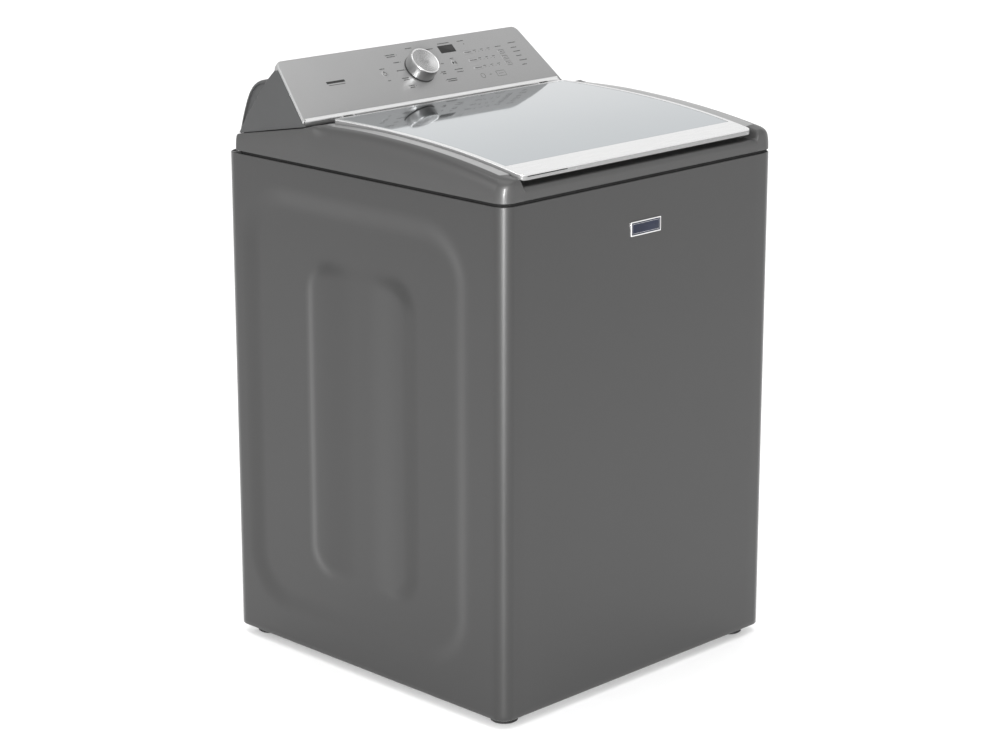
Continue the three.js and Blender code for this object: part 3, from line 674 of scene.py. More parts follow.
def cabinet_shell():
    """The bent front-and-sides sheet, swept up from its plan outline."""
    half_w, front, back = wrap_hi.x, wrap_lo.y, wrap_hi.y
    r, flange, sheet = 0.026, 0.030, 0.0009
    plan = []  # (x, y, outward x, outward y), from the left rear flange round to the right one

    def arc(cx, cy, start, turn):
        for k in range(11):
            a = math.radians(start + turn * k / 10)
            plan.append((cx + r * math.cos(a), cy + r * math.sin(a), math.cos(a), math.sin(a)))

    plan.append((-half_w + flange, back, 0, 1))
    arc(-half_w + r, back - r, 90, 90)
    side = np.linspace(back - r, front + r, 86)[1:-1]
    plan.extend((-half_w, y, -1, 0) for y in side)
    arc(-half_w + r, front + r, 180, 90)
    plan.extend((x, front, 0, -1) for x in np.linspace(-half_w + r, half_w - r, 24)[1:-1])
    arc(half_w - r, front + r, 270, 90)
    plan.extend((half_w, y, 1, 0) for y in side[::-1])
    arc(half_w - r, back - r, 0, 90)
    plan.append((half_w - flange, back, 0, 1))
    z0, z1, roll = wrap_lo.z, wrap_hi.z, 0.0018
    body = np.linspace(z0 + roll, z1 - roll, 116)
    levels = [(z0 + 0.0002, roll), (z0 + 0.0006, roll * 0.35)] + [(z, 0) for z in body]
    levels += [(z1 - 0.0013, roll * 0.25), (z1 - 0.0007, roll * 0.8)]
    verts = []
    for z, inset in levels:
        for x, y, nx, ny in plan:
            out = side_emboss(y, z) if abs(nx) > 0.999 else 0
            out = out - 0.0002 - inset
            verts.append((x + nx * out, y + ny * out, z))
    faces = grid_faces(len(levels), len(plan), lambda i, j: True)
    shell = mesh_from_lists("cabinet_shell", verts, faces, CABINET_PAINT)
    place(thickened(shell, sheet), "cabinet", "cabinet_wrap", slot="cabinet_paint")


GUSSET_Z, GUSSET_SHEET, GUSSET_REACH = 0.899, 0.0055, 0.165


def corner_gussets():
    """Welded plates across the cabinet's upper corners, which the suspension rods hang from."""
    pieces = []
    for node in ROD_NODES:
        x, y = centre_of(node)
        wall_x = math.copysign(wrap_hi.x - 0.0045, x)
        wall_y = wrap_lo.y + 0.0045 if y < 0 else 0.332
        corner = 0.022 if y < 0 else 0.002
        inward = (-math.copysign(1, x), 1 if y < 0 else -1)
        outline = [
            (wall_x, wall_y + inward[1] * corner), (wall_x, wall_y + inward[1] * GUSSET_REACH),
            (wall_x + inward[0] * GUSSET_REACH, wall_y), (wall_x + inward[0] * corner, wall_y)]
        plate = extruded("gusset", outline, GUSSET_Z, GUSSET_SHEET, ZINC)
        hole = lathe("hole", [(0, 0.89), (0.007, 0.89), (0.007, 0.91), (0, 0.91)], ZINC, 24)
        cut_by(plate, placed(hole, Matrix.Translation((x, y, 0))))
        pieces.append(bevelled(plate, 0.0006))
    place(joined("corner_gussets", pieces), "cabinet", slot="zinc_steel")


def rear_panel():
    """Galvanised back with pressed stiffening ribs and a screwed service cover."""
    lo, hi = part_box("rear_panel")
    xs = np.linspace(lo.x, hi.x, 140)
    zs = np.linspace(lo.z, hi.z, 170)
    x, z = np.meshgrid(xs, zs)

    def rib(cx, half, bottom, top, radius, depth):
        inside = inside_distance(x - cx, z, half, bottom, top, radius)
        return depth * smoothstep((inside + 0.004) / 0.012)

    out = rib(-0.235, 0.045, 0.14, 0.72, 0.04, 0.004) + rib(0.235, 0.045, 0.14, 0.72, 0.04, 0.004)
    out += rib(0, 0.135, 0.60, 0.76, 0.03, 0.004) + rib(0, 0.135, 0.13, 0.20, 0.03, 0.004)
    top = np.stack([x, hi.y + out, z], axis=-1)
    bottom = np.stack([x, lo.y + out, z], axis=-1)
    sheet = slab("rear_sheet", top, bottom, ZINC)
    cutters = []
    for node, radius in (("drain_outlet", 0.0182), ("cord_gland", 0.0122)):
        a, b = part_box(node)
        cutters.append(rear_hole(centre_of(node)[0], (a.z + b.z) / 2, radius))
    a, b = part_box("water_inlet_valve")
    for x_port in (a.x + 0.020, b.x - 0.020):
        cutters.append(rear_hole(x_port, PORT_Z, 0.0142))
    cut_by(sheet, *cutters)
    place(sheet, "cabinet", "rear_panel", slot="zinc_steel")
    cover = pad("service_cover", rounded_outline(-0.14, 0.14, 0.235, 0.565, 0.02), 0, 0.0022, 0.0012, ZINC)
    facing_back = UPRIGHT @ Matrix.Scale(-1, 4, (0, 0, 1))
    placed(cover, Matrix.Translation((0, hi.y + 0.0003, 0)) @ facing_back)
    cover.data.flip_normals()
    place(cover, "cabinet", slot="zinc_steel")
    screws = []
    spots = [(sx * 0.125, z_at) for sx in (-1, 1) for z_at in (0.25, 0.55)]
    spots += [(sx * 0.30, z_at) for sx in (-1, 1) for z_at in (0.09, 0.42, 0.78, 0.905)]
    for sx, sz in spots:
        height = hi.y + (0.0026 if abs(sx) < 0.13 else 0.0)
        screws.append(hex_screw((sx, height, sz), (0, 1, 0), 0.0042))
    place(joined("rear_screws", screws), "cabinet", slot="zinc_steel")


PORT_Z = 0.868


def rear_hole(x, z, radius):
    cutter = lathe("hole", [(0, -0.02), (radius, -0.02), (radius, 0.02), (0, 0.02)], ZINC, 40)
    return placed(cutter, Matrix.Translation((x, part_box("rear_panel")[1].y, z)) @ UPRIGHT)


def hex_screw(at, axis, radius):
    """A hexagon washer-head sheet screw."""
    washer = lathe("screw", [(0, 0), (radius * 1.45, 0), (radius * 1.4, 0.0006), (0, 0.0006)], ZINC, 20)
    hexagon = [(0, 0.0006), (radius, 0.0006), (radius, 0.003), (radius * 0.85, 0.0036), (0, 0.0036)]
    head = lathe("head", hexagon, ZINC, 6, 20)
    screw = joined("screw", [washer, head])
    turn = Vector((0, 0, 1)).rotation_difference(Vector(axis)).to_matrix().to_4x4()
    return placed(screw, Matrix.Translation(at) @ turn)


# ---- top panel ----------------------------------------------------------------------------
PANEL_R, PANEL_REAR_R = 0.026, 0.010
PANEL_SKIN = 0.0022
PANEL_EDGE = 0.009  # radius of the rounding along the front and the rear
SEAM_LOW, SEAM_HIGH = 0.918, 0.936
CROWN_W = 0.0225  # how far in from the side the rim's rounding starts
CROWN_N = 2.9  # how square that rounding is
CREST_BELOW_LID, CREST_REAR_DROP = 0.0022, 0.003
LEDGE_W, LEDGE_FALL = 0.020, 0.0012  # the strip between the crest and the lid
HIGHLIGHT_STRIP_X, HIGHLIGHT_STRIP_Y = (0.3015, 0.3225), (-0.322, 0.112)  # where that strip gets the lighter fascia paint: a painted highlight on the ledge


def crown_width(y, half):
    """The rounding is wide beside the lid, and tight beside the console and in the front corners."""
    beside_console = smoothstep((y - 0.085) / 0.05)
    return np.minimum(CROWN_W - (CROWN_W - 0.006) * beside_console, half - 0.3190)


def panel_half_width(y):
    """The panel's outline: wide round corners at the front, tighter ones at the rear."""
    front = half_width_at(y, panel_hi.x, panel_lo.y, 1.0, PANEL_R)
    rear = half_width_at(y, panel_hi.x, -1.0, panel_hi.y, PANEL_REAR_R)
    return np.minimum(front, rear)


def panel_height(x, y):
    """Height of the top panel: rounded rim, ledge, lid recess, finger scoop and rear deck."""
    front, back = panel_lo.y, panel_hi.y
    ax = np.abs(x)
    half = panel_half_width(y)
    width = crown_width(y, half)
    fall = smoothstep((y - 0.114) / 0.026)
    crest = lid_top(y) - CREST_BELOW_LID - CREST_REAR_DROP * smoothstep((y + 0.02) / 0.14)
    ledge = crest - LEDGE_FALL * np.clip((half - width - ax) / LEDGE_W, 0, 1)
    rim = ledge * (1 - fall) + deck_top(np.maximum(y, RECESS_REAR)) * fall
    turn = np.clip((ax - (half - width)) / width, 0, 1)
    rim = (panel_lo.z + (rim - panel_lo.z) * (1 - turn ** CROWN_N) ** (1 / CROWN_N)
           - 0.0009 * (turn > 0) * (1 - fall))
    recess = lid_top(y) - RECESS_DEPTH
    scoop = smoothstep((SCOOP_Y + 0.004 - y) / 0.008)
    floor = recess * (1 - scoop) + SCOOP_Z * scoop
    floor = np.where(y > RECESS_REAR, deck_top(y), floor)
    side = smoothstep((ax - RECESS_HALF_W) / 0.0035)
    side = np.where(y < -0.325, smoothstep((ax - RECESS_HALF_W + 0.001) / 0.009), side)
    top = floor + (rim - floor) * side
    nearest = np.minimum(y - front, back - y)
    return np.maximum(top - round_over(np.maximum(nearest, 0), PANEL_EDGE), panel_lo.z + 0.001)


def top_panel():
    front, back = panel_lo.y, panel_hi.y
    rows = [front + s for s in edge_steps(PANEL_EDGE, 6) + edge_steps(PANEL_R, 8)]
    rows += list(np.linspace(-0.334, -0.328, 4)) + list(np.linspace(-0.326, -0.310, 13))
    rows += list(np.linspace(-0.305, 0.110, 70)) + list(np.linspace(0.112, 0.145, 18))
    rows += list(np.linspace(0.150, back - 0.012, 14)) + [back - s for s in edge_steps(PANEL_REAR_R, 6)]
    rows = sorted(set(np.round(rows, 6)))
    turns = [1 - math.cos(math.pi / 2 * k / 14) ** (2 / CROWN_N) for k in range(14)] + [1.0]
    inner = [0.3176, 0.3150, 0.3130, 0.3100, 0.3075, 0.306, 0.3045, 0.3033, 0.3025, 0.3018, 0.3011]
    inner += [0.3004, 0.2998, 0.2992, 0.2985, 0.2975, 0.296] + list(np.linspace(0.290, 0.010, 15))
    grid = []
    for y in rows:
        half = float(panel_half_width(y))
        width = float(crown_width(y, half))
        columns = spread_columns(half, [width * share for share in turns], inner)
        grid.append([(x, y) for x in columns])
    xy = np.array(grid)
    z = panel_height(xy[..., 0], xy[..., 1])
    top = np.concatenate([xy, z[..., None]], axis=-1)
    count, width = top.shape[:2]
    verts = [tuple(p) for p in top.reshape(-1, 3)]
    faces = grid_faces(count, width, lambda i, j: True)
    edge = list(range(width)) + [i * width + width - 1 for i in range(1, count)]
    edge += [(count - 1) * width + j for j in range(width - 2, -1, -1)]
    edge += [i * width for i in range(count - 2, 0, -1)]
    previous = edge
    z0 = panel_lo.z
    for share, inset in ((0.25, 0), (0.5, 0), (0.75, 0), (0.95, 0), (1.0, 0.0008)):
        base = len(verts)
        for index in edge:
            x, y, z_edge = verts[index]
            centre = Vector((x * 0.9, -0.012 + (y + 0.012) * 0.9))
            toward = (centre - Vector((x, y))).normalized() * inset
            verts.append((x + toward.x, y + toward.y, z_edge + (z0 - z_edge) * share))
        ring = list(range(base, base + len(edge)))
        for k in range(len(edge)):
            j = (k + 1) % len(edge)
            faces.append((previous[j], previous[k], ring[k], ring[j]))
        previous = ring
    panel = mesh_from_lists("top_panel_shell", verts, faces, PANEL_PAINT, 40)
    panel.data.materials.append(FASCIA_PAINT)
    # The ledge strip's faces get the lighter fascia paint: a painted highlight along the ledge beside the
    # lid.
    for face in panel.data.polygons:
        x, y, _ = face.center
        crest_x = float(panel_half_width(y) - crown_width(y, panel_half_width(y)))
        in_highlight_strip = HIGHLIGHT_STRIP_X[0] < abs(x) < min(crest_x, HIGHLIGHT_STRIP_X[1]) and HIGHLIGHT_STRIP_Y[0] < y < HIGHLIGHT_STRIP_Y[1]
        face.material_index = int(in_highlight_strip)
    thickened(panel, PANEL_SKIN)
    mouth = rounded_outline(-0.215, 0.215, -0.275, 0.085, 0.12, 16)
    lo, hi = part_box("bleach_cup")
    cup = rounded_outline(lo.x - 0.0004, hi.x + 0.0004, lo.y - 0.0004, hi.y + 0.0004, 0.0085)
    lo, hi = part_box("lid_strike")
    slot = rounded_outline(lo.x - 0.004, hi.x + 0.004, lo.y - 0.010, hi.y + 0.006, 0.003)
    cut_by(panel, *(prism("opening", outline, 0.90, 1.03) for outline in (mouth, cup, slot)))
    place(panel, "cabinet", "top_panel", slot="cabinet_paint")
    place(mouth_bead(), "cabinet", slot="cabinet_paint")
    place(seam_gasket(), "cabinet", slot="rubber")


def prism(name, outline, z0, z1):
    rings = [[(x, y, z) for x, y, _, _ in outline] for z in (z0, z1)]
    return mesh_from_lists(name, *ring_loft(rings), BLACK_PLASTIC)


def seam_gasket():
    """A dark strip behind the seam between the cabinet and its top panel."""
    front, back = panel_lo.y, panel_hi.y
    outer = rounded_outline(-0.3456, 0.3456, front + 0.0029, back - 0.0029, 0.0231, 8)
    inner = [(x - nx * 0.002, y - ny * 0.002) for x, y, nx, ny in outer]
    outer = [(x, y) for x, y, _, _ in outer]
    rings = [[(x, y, z) for x, y in ring] for ring, z in (
        (inner, SEAM_LOW), (outer, SEAM_LOW), (outer, SEAM_HIGH), (inner, SEAM_HIGH), (inner, SEAM_LOW))]
    return mesh_from_lists("seam_gasket", *ring_loft(rings, closed_ends=False), GASKET_AND_SHADOW_BLACK)


def mouth_bead():
    """The rolled edge round the loading mouth, following the recess floor."""
    outline = rounded_outline(-0.2155, 0.2155, -0.2755, 0.0855, 0.1205, 20)
    points = [(x, y, float(lid_top(y)) - RECESS_DEPTH - 0.0012) for x, y, _, _ in outline]
    return tube_along("mouth_bead", points, 0.0028, PANEL_PAINT, 12, closed=True)


# ---- lid ----------------------------------------------------------------------------------
LID_R = 0.012


def lid_plate(name, box, radius, upper, lower, edge, material, window=None):
    """A plate that follows the lid's arch, rounded at its corners and along its upper edge."""
    (_, y0), (half_w, y1) = box
    extra = [] if window is None else [window[0][1], window[1][1]]
    insets = edge_steps(max(radius, edge), 8) + edge_steps(edge, 4)
    rows = [y0 + s for s in insets] + [y1 - s for s in insets]
    rows += list(np.linspace(y0 + radius, y1 - radius, 58)) + extra
    rows = sorted(set(np.round(rows, 6)))
    inner = [half_w - radius] + ([window[1][0]] if window else [])
    inner += list(np.linspace(half_w - radius - 0.012, 0.01, 9))
    inner = sorted(set(np.round(inner, 6)), reverse=True)
    top, bottom = [], []
    for y in rows:
        half = float(half_width_at(y, half_w, y0, y1, radius))
        fitted = [min(x, half - edge - 1e-4 * k) for k, x in enumerate(inner)]
        columns = spread_columns(half, edge_steps(edge, 4), fitted)
        depth = [max(0.0, float(inside_distance(x, y, half_w, y0, y1, radius))) for x in columns]
        drop = [float(round_over(d, edge)) for d in depth]
        arch = float(lid_top(y))
        top.append([(x, y, arch - upper - d) for x, d in zip(columns, drop)])
        bottom.append([(x, y, arch - lower) for x in columns])
    top, bottom = np.array(top), np.array(bottom)

    def keep(i, j):
        if window is None:
            return True
        y = (rows[i] + rows[i + 1]) / 2
        x = (top[i, j, 0] + top[i, j + 1, 0]) / 2
        return not (abs(x) < window[1][0] and window[0][1] < y < window[1][1])

    return slab(name, top, bottom, material, keep)


def lid():
    outer = ((lid_lo.x, lid_lo.y), (lid_hi.x, lid_hi.y))
    opening = ((glass_lo.x - 0.0008, glass_lo.y - 0.0008), (glass_hi.x + 0.0008, glass_hi.y + 0.0008))
    base = lid_plate("lid_frame_moulding", outer, LID_R, 0.0033, 0.0088, 0.0002, LID_FRAME_PLASTIC)
    border = lid_plate("lid_frame_border", outer, LID_R, 0.0014, 0.0033, 0.0004, LID_FRAME_PLASTIC, opening)
    # A thin near-black strip on the left of the lid's front face, under the trim: a painted shadow gap.
    shadow_slit_outline = rounded_outline(-0.283, -0.187, -0.0008, 0.0008, 0.0008, 4)
    shadow_slit = pad("painted_shadow_slit", shadow_slit_outline, 0, 0.0003, 0.0001, GASKET_AND_SHADOW_BLACK)
    at = (0, lid_lo.y - 0.0001, float(lid_top(lid_lo.y)) - 0.0026)
    placed(shadow_slit, Matrix.Translation(at) @ UPRIGHT)
    place(joined("lid_frame_moulding", [base, border, shadow_slit]), "lid", "lid_frame", slot="console_plastic")
    trim = lid_plate("lid_bright_trim", outer, LID_R, 0.0, 0.0013, 0.0009, LID_TRIM_METAL, opening)
    place(trim, "lid", "lid_trim", slot="lid_trim")
    pane = ((glass_lo.x, glass_lo.y), (glass_hi.x, glass_hi.y))
    glass = lid_plate("lid_mirror_pane", pane, 0.002, 0.0002, 0.0030, 0.0005, LID_MIRROR)
    place(glass, "lid", "lid_glass", slot="lid_glass")
    seat = ((glass_lo.x - 0.0016, glass_lo.y - 0.0016), (glass_hi.x + 0.0016, glass_hi.y + 0.0016))
    gasket = lid_plate("lid_gasket", seat, 0.002, 0.0031, 0.0036, 0.0002, GASKET_AND_SHADOW_BLACK)
    place(gasket, "lid", slot="rubber")
    lid_underside()


def lid_underside():
    """The smooth liner and the four rubber bumpers under the lid."""
    liner = ((-0.262, -0.300), (0.262, 0.085))
    plate = lid_plate("lid_liner", liner, 0.03, 0.0088, 0.0108, 0.0002, LINER_PLASTIC)
    place(plate, "lid", slot="console_plastic")
    bumpers = []
    profile = [(0, -0.0035), (0.003, -0.0033), (0.005, -0.002), (0.0055, 0), (0, 0)]
    for sx in (-1, 1):
        for y in (-0.302, 0.095):
            dome = lathe("bumper", profile, RUBBER, 20)
            bumpers.append(placed(dome, Matrix.Translation((sx * 0.281, y, float(lid_top(y)) - 0.0089))))
    place(joined("lid_bumpers", bumpers), "lid", slot="rubber")


# ---- console ------------------------------------------------------------------------------
def fascia_outline():
    """The fascia's sloped trapezoid with round corners, as points and outward normals."""
    foot = -0.013
    slope = (FASCIA_LOW - FASCIA_HIGH) / FASCIA_SLANT
    low = FASCIA_LOW - slope * foot
    corners = [(low, foot, 0.005), (FASCIA_HIGH, FASCIA_SLANT, 0.015), (-FASCIA_HIGH, FASCIA_SLANT, 0.015),
        (-low, foot, 0.005)]
    points = []
    for k, (x, s, r) in enumerate(corners):
        before, after = Vector(corners[k - 1][:2]), Vector(corners[(k + 1) % 4][:2])
        here = Vector((x, s))
        d1, d2 = (here - before).normalized(), (after - here).normalized()
        n1, n2 = Vector((d1.y, -d1.x)), Vector((d2.y, -d2.x))
        turn = n1.angle(n2)
        centre = here - (n1 + n2).normalized() * (r / math.cos(turn / 2))
        start = math.atan2(n1.y, n1.x)
        for step in range(9):
            a = start + turn * step / 8
            points.append((centre.x + r * math.cos(a), centre.y + r * math.sin(a), math.cos(a), math.sin(a)))
    return points


def fascia_edge(nx, ny):
    """Edge radius: a wide roll along the foot, a softer one at the sides, a tight one on top."""
    return 0.0022 + 0.0010 * abs(nx) + 0.0080 * max(0, -ny)


KEY_SPOTS = {  # (x, s, width, height, corner radius), each key's cap in the fascia's frame
    "power_key": (-82.5, 65, 15, 15, 7.4),
    "start_pause_key": (96, 65.7, 16, 15, 7.4),
    "temperature_key": (145, 84, 24, 8, 3),
    "soil_level_key": (145, 64.5, 24, 8, 3),
    "spin_speed_key": (145, 45.9, 24, 8, 3),
    "option_upper_key": (226.9, 73.8, 17, 10.5, 2),
    "option_middle_key": (226.9, 59.4, 17, 10.5, 2),
    "option_lower_key": (226.9, 45.2, 17, 10.5, 2),
}
DISPLAY_SPOT = (100, 99.3, 39, 17.4, 0.8)


def spot_outline(spot, grow=0.0, steps=6):
    x, s, w, h, r = (value * MM for value in spot)
    return rounded_outline(x - w / 2 - grow, x + w / 2 + grow, s - h / 2 - grow, s + h / 2 + grow, r + grow,
        steps)


def fascia():
    plate = pad("fascia_plate", fascia_outline(), -0.0105, 0, 0.003, FASCIA_PAINT, 8, fascia_edge)
    spots = [*KEY_SPOTS.values(), DISPLAY_SPOT]
    cutters = [prism("hole", spot_outline(spot, 0.0002), -0.02, 0.01) for spot in spots]
    shaft = lathe("hole", [(0, -0.02), (0.008, -0.02), (0.008, 0.01), (0, 0.01)], FASCIA_PAINT, 32)
    cutters.append(placed(shaft, Matrix.Translation((KNOB_X, KNOB_S, 0))))
    inner = [(x - nx * 0.004, s - ny * 0.004, nx, ny) for x, s, nx, ny in fascia_outline()]
    cutters.append(prism("hollow", inner, -0.02, -0.003))
    cut_by(plate, *cutters)
    plate.data.materials.clear()
    plate.data.materials.append(FASCIA_PAINT)
    plate.data.materials.append(HIGHLIGHT_EDGE_METAL)
    # The roll along the fascia's foot gets the bright edge metal: a painted highlight for the light it
    # catches there.
    for face in plate.data.polygons:
        _, s, n = face.center
        face.material_index = int(s < -0.0025 and n > -0.0104 and face.normal.y < -0.02)
    place(placed(plate, FASCIA_MATRIX), "cabinet", "console_fascia", slot="fascia_silver")


def keys():
    for node, spot in KEY_SPOTS.items():
        cap = pad(f"{node}_cap", spot_outline(spot), -0.0035, 0.0001, 0.0003, FASCIA_PAINT, 2)
        flange = pad("flange", spot_outline(spot, 0.0015), -0.005, -0.0033, 0.0002, FASCIA_PAINT, 1)
        piece = joined(f"{node}_cap", [cap, flange])
        place(placed(piece, FASCIA_MATRIX), node, node, slot="fascia_silver")


def console_height(y):
    return float(deck_top(y)) + 0.0015


def end_caps():
    """Side covers that lean in towards the top, with softly rounded edges."""
    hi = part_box("console_end_cap_right")[1]
    wall = 0.003

    def slope_point(s, n):
        p = FASCIA_MATRIX @ Vector((0, s, n))
        return (p.y, p.z)

    front = slope_point(-0.010, -0.0036)
    foot = [(0.1505, console_height(0.1505)), (0.322, console_height(0.322))]
    rear = [(0.3165, 0.976), (0.310, 0.992), (0.2915, 1.0265), (0.272, 1.060)]
    outline = foot + rear + [slope_point(0.1155, -0.0100), slope_point(0.1115, -0.0036), front,
        (0.1525, front[1] - 0.004)]
    for tag, sign in SIDES:
        verts = []
        for inset in (0, wall):
            for y, z in outline:
                verts.append((sign * (hi.x - 0.0004 - inset - CONSOLE_LEAN * (z - LEAN_FROM)), y, z))
        count = len(outline)
        faces = [tuple(range(count)), tuple(reversed(range(count, 2 * count)))]
        faces += [(i, (i + 1) % count, count + (i + 1) % count, count + i) for i in range(count)]
        cap = mesh_from_lists(f"end_cap_{tag}", verts, faces, CONSOLE_PLASTIC)
        bevelled(cap, 0.0014, 3, 20)
        cap.data.materials.append(HIGHLIGHT_EDGE_METAL)
        # Bevel faces turned outward and to the rear get the bright edge metal: a painted highlight along the
        # end cap's rear edge.
        for face in cap.data.polygons:
            outward = face.normal.x * sign
            face.material_index = int(0.25 < outward < 0.94 and face.normal.y > 0.1)
        place(cap, "cabinet", f"console_end_cap_{tag}", slot="console_plastic")


def smooth_profile(points, steps):
    """A curve through the points (Catmull-Rom)."""
    p = [Vector(points[0])] + [Vector(q) for q in points] + [Vector(points[-1])]
    curve = []
    for k in range(1, len(p) - 2):
        for i in range(steps):
            t = i / steps
            a, b, c, d = p[k - 1], p[k], p[k + 1], p[k + 2]
            curve.append(0.5 * (2 * b + (c - a) * t + (2 * a - 5 * b + 4 * c - d) * t * t
                                + (3 * b - a - 3 * c + d) * t ** 3))
    curve.append(p[-2])
    return curve


def rear_housing():
    """The console's back: one swept bulge that rounds over at its two ends."""
    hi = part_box("console_rear_housing")[1]
    gap = 0.0040
    spine = smooth_profile([
        (0.3265, console_height(0.327)), (0.3263, 0.985), (0.3245, 1.010), (0.3205, 1.031), (0.3125, 1.0455),
        (0.3005, 1.0540), (0.286, 1.0585), (0.2705, 1.0615)], 6)
    spine += smooth_profile([(0.2675, 1.0622), (0.2655, 1.065), (0.2645, 1.075), (0.2640, 1.0890)], 4)
    normals = []
    for k, p in enumerate(spine):
        a, b = spine[max(0, k - 1)], spine[min(len(spine) - 1, k + 1)]
        along = (b - a).normalized()
        normals.append(Vector((along.y, -along.x)))
    r, steps = 0.0055, 6
    round_end = []  # (in from the end, in from the surface)
    for k in range(steps + 1):
        a = math.pi / 2 * k / steps
        round_end.append((r * (1 - math.sin(a)), r * (1 - math.cos(a))))
    stations = [(-1, *spot) for spot in round_end] + [(1, *spot) for spot in reversed(round_end)]
    verts = []
    for p, n in zip(spine, normals):
        half = console_half_width(p.y, hi.x) - gap
        for sx, end, sink in stations:
            y, z = p.x - n.x * sink, p.y - n.y * sink
            verts.append((sx * (half - end), y, z))
    faces = grid_faces(len(spine), len(stations), lambda i, j: True)
    width = len(stations)
    for column in (0, width - 1):  # the cheeks reach forward behind the end caps
        base = len(verts)
        for k in range(len(spine)):
            x, y, z = verts[k * width + column]
            verts.append((x, 0.2625, z))
        for k in range(len(spine) - 1):
            faces.append((k * width + column, (k + 1) * width + column, base + k + 1, base + k))
    shell = mesh_from_lists("rear_housing_shell", verts, faces, CONSOLE_PLASTIC, 40)
    place(thickened(shell, 0.002, 40), "cabinet", "console_rear_housing", slot="console_plastic")


def console_half_width(z, foot_half):
    """Half the console's width at that height, tucked in behind the fascia's round top corners."""
    leaning = foot_half + 0.0036 - CONSOLE_LEAN * (z - LEAN_FROM)
    above = (z - FASCIA_ORIGIN.z) / math.sin(FASCIA_TILT) - (FASCIA_SLANT - 0.0155)
    rounded = 0.290 + math.sqrt(max(0.0, 0.0145 ** 2 - max(0.0, above) ** 2))
    return min(leaning, rounded + 0.0035) if above > 0 else leaning


def selector():
    """Dial: dished spun face, polished rim, finely lined side."""
    r, height = 0.0303, 0.026
    side_profile = [(0.0036, 0.0024), (r - 0.0008, 0.0024), (r, 0.0032), (r - 0.0002, 0.012),
        (r - 0.0006, 0.0225), (r - 0.0010, 0.0238)]
    rim_profile = [(r - 0.0010, 0.0238), (r - 0.0011, 0.0252), (r - 0.0018, height), (r - 0.0028, height),
        (r - 0.0036, 0.0254)]
    dish = [(r - 0.0036 - 0.0265 * k / 12, 0.0254 - 0.0034 * math.sin(math.pi / 2 * k / 12))
            for k in range(13)]
    face_profile = dish + [(0, 0.0220)]
    socket_profile = [(0, 0.017), (0.0036, 0.017), (0.0036, 0.0024)]
    parts = [
        lathe("knob_side", side_profile, KNOB_SIDE, 180), lathe("knob_rim", rim_profile, KNOB_RIM, 128),
        lathe("knob_face", face_profile, KNOB_FACE, 128),
        lathe("knob_socket", socket_profile, BLACK_PLASTIC, 32)]
    knob = joined("selector_dial", parts)
    knob.matrix_world = FASCIA_MATRIX @ Matrix.Translation((KNOB_X, KNOB_S, 0))
    place(knob, "selector", "selector_knob", slot="knob_metal")
    ring_profile = [(0.0085, 0.0003), (0.0312, 0.0003), (0.0312, 0.0010), (0.0300, 0.0019), (0.0085, 0.0019),
        (0.0085, 0.0003)]
    ring = lathe("dial_ring", ring_profile, BLACK_PLASTIC, 96)
    place(placed(ring, FASCIA_MATRIX @ Matrix.Translation((KNOB_X, KNOB_S, 0))), "cabinet", "knob_bezel",
        slot="black_plastic")


def display():
    window = pad("display_lens", spot_outline(DISPLAY_SPOT), -0.005, -0.0002, 0.0003, DISPLAY_BLACK, 2)
    place(placed(window, FASCIA_MATRIX), "cabinet", "display_window", slot="display_black")


# ---- printed legends ----------------------------------------------------------------------
INK_LIFT = 0.00006


def ink_polygon(points):
    return extruded("ink", [(x * MM, s * MM) for x, s in points], 0, INK_LIFT, INK)


def ink_quad(x0, x1, s0, s1):
    return ink_polygon(((x0, s0), (x1, s0), (x1, s1), (x0, s1)))


def ink_bars(x, s, width, height, random_source, align="centre"):
    """A printed label stood in for by a row of short bars, which say nothing."""
    bars = []
    left = x - width / 2 if align == "centre" else x
    cursor = left
    while cursor < left + width - 0.4:
        length = random_source.uniform(0.9, 2.4)
        end = min(cursor + length, left + width)
        bars.append(ink_quad(cursor, end, s - height / 2, s + height / 2))
        cursor = end + random_source.uniform(0.45, 0.8)
    return bars


def ink_outline(outline, width):
    """A printed line of that width round an outline."""
    outer = [(x, s) for x, s, _, _ in outline]
    inner = [(x - nx * width, s - ny * width) for x, s, nx, ny in outline]
    rings = [[(x, s, z) for x, s in ring] for ring, z in (
        (inner, 0), (outer, 0), (outer, INK_LIFT), (inner, INK_LIFT), (inner, 0))]
    return mesh_from_lists("ink_outline", *ring_loft(rings, closed_ends=False), INK)


def ink_dot(x, s, r):
    angles = np.linspace(0, 2 * math.pi, 17)[:-1]
    return ink_polygon([(x + r * math.cos(a), s + r * math.sin(a)) for a in angles])


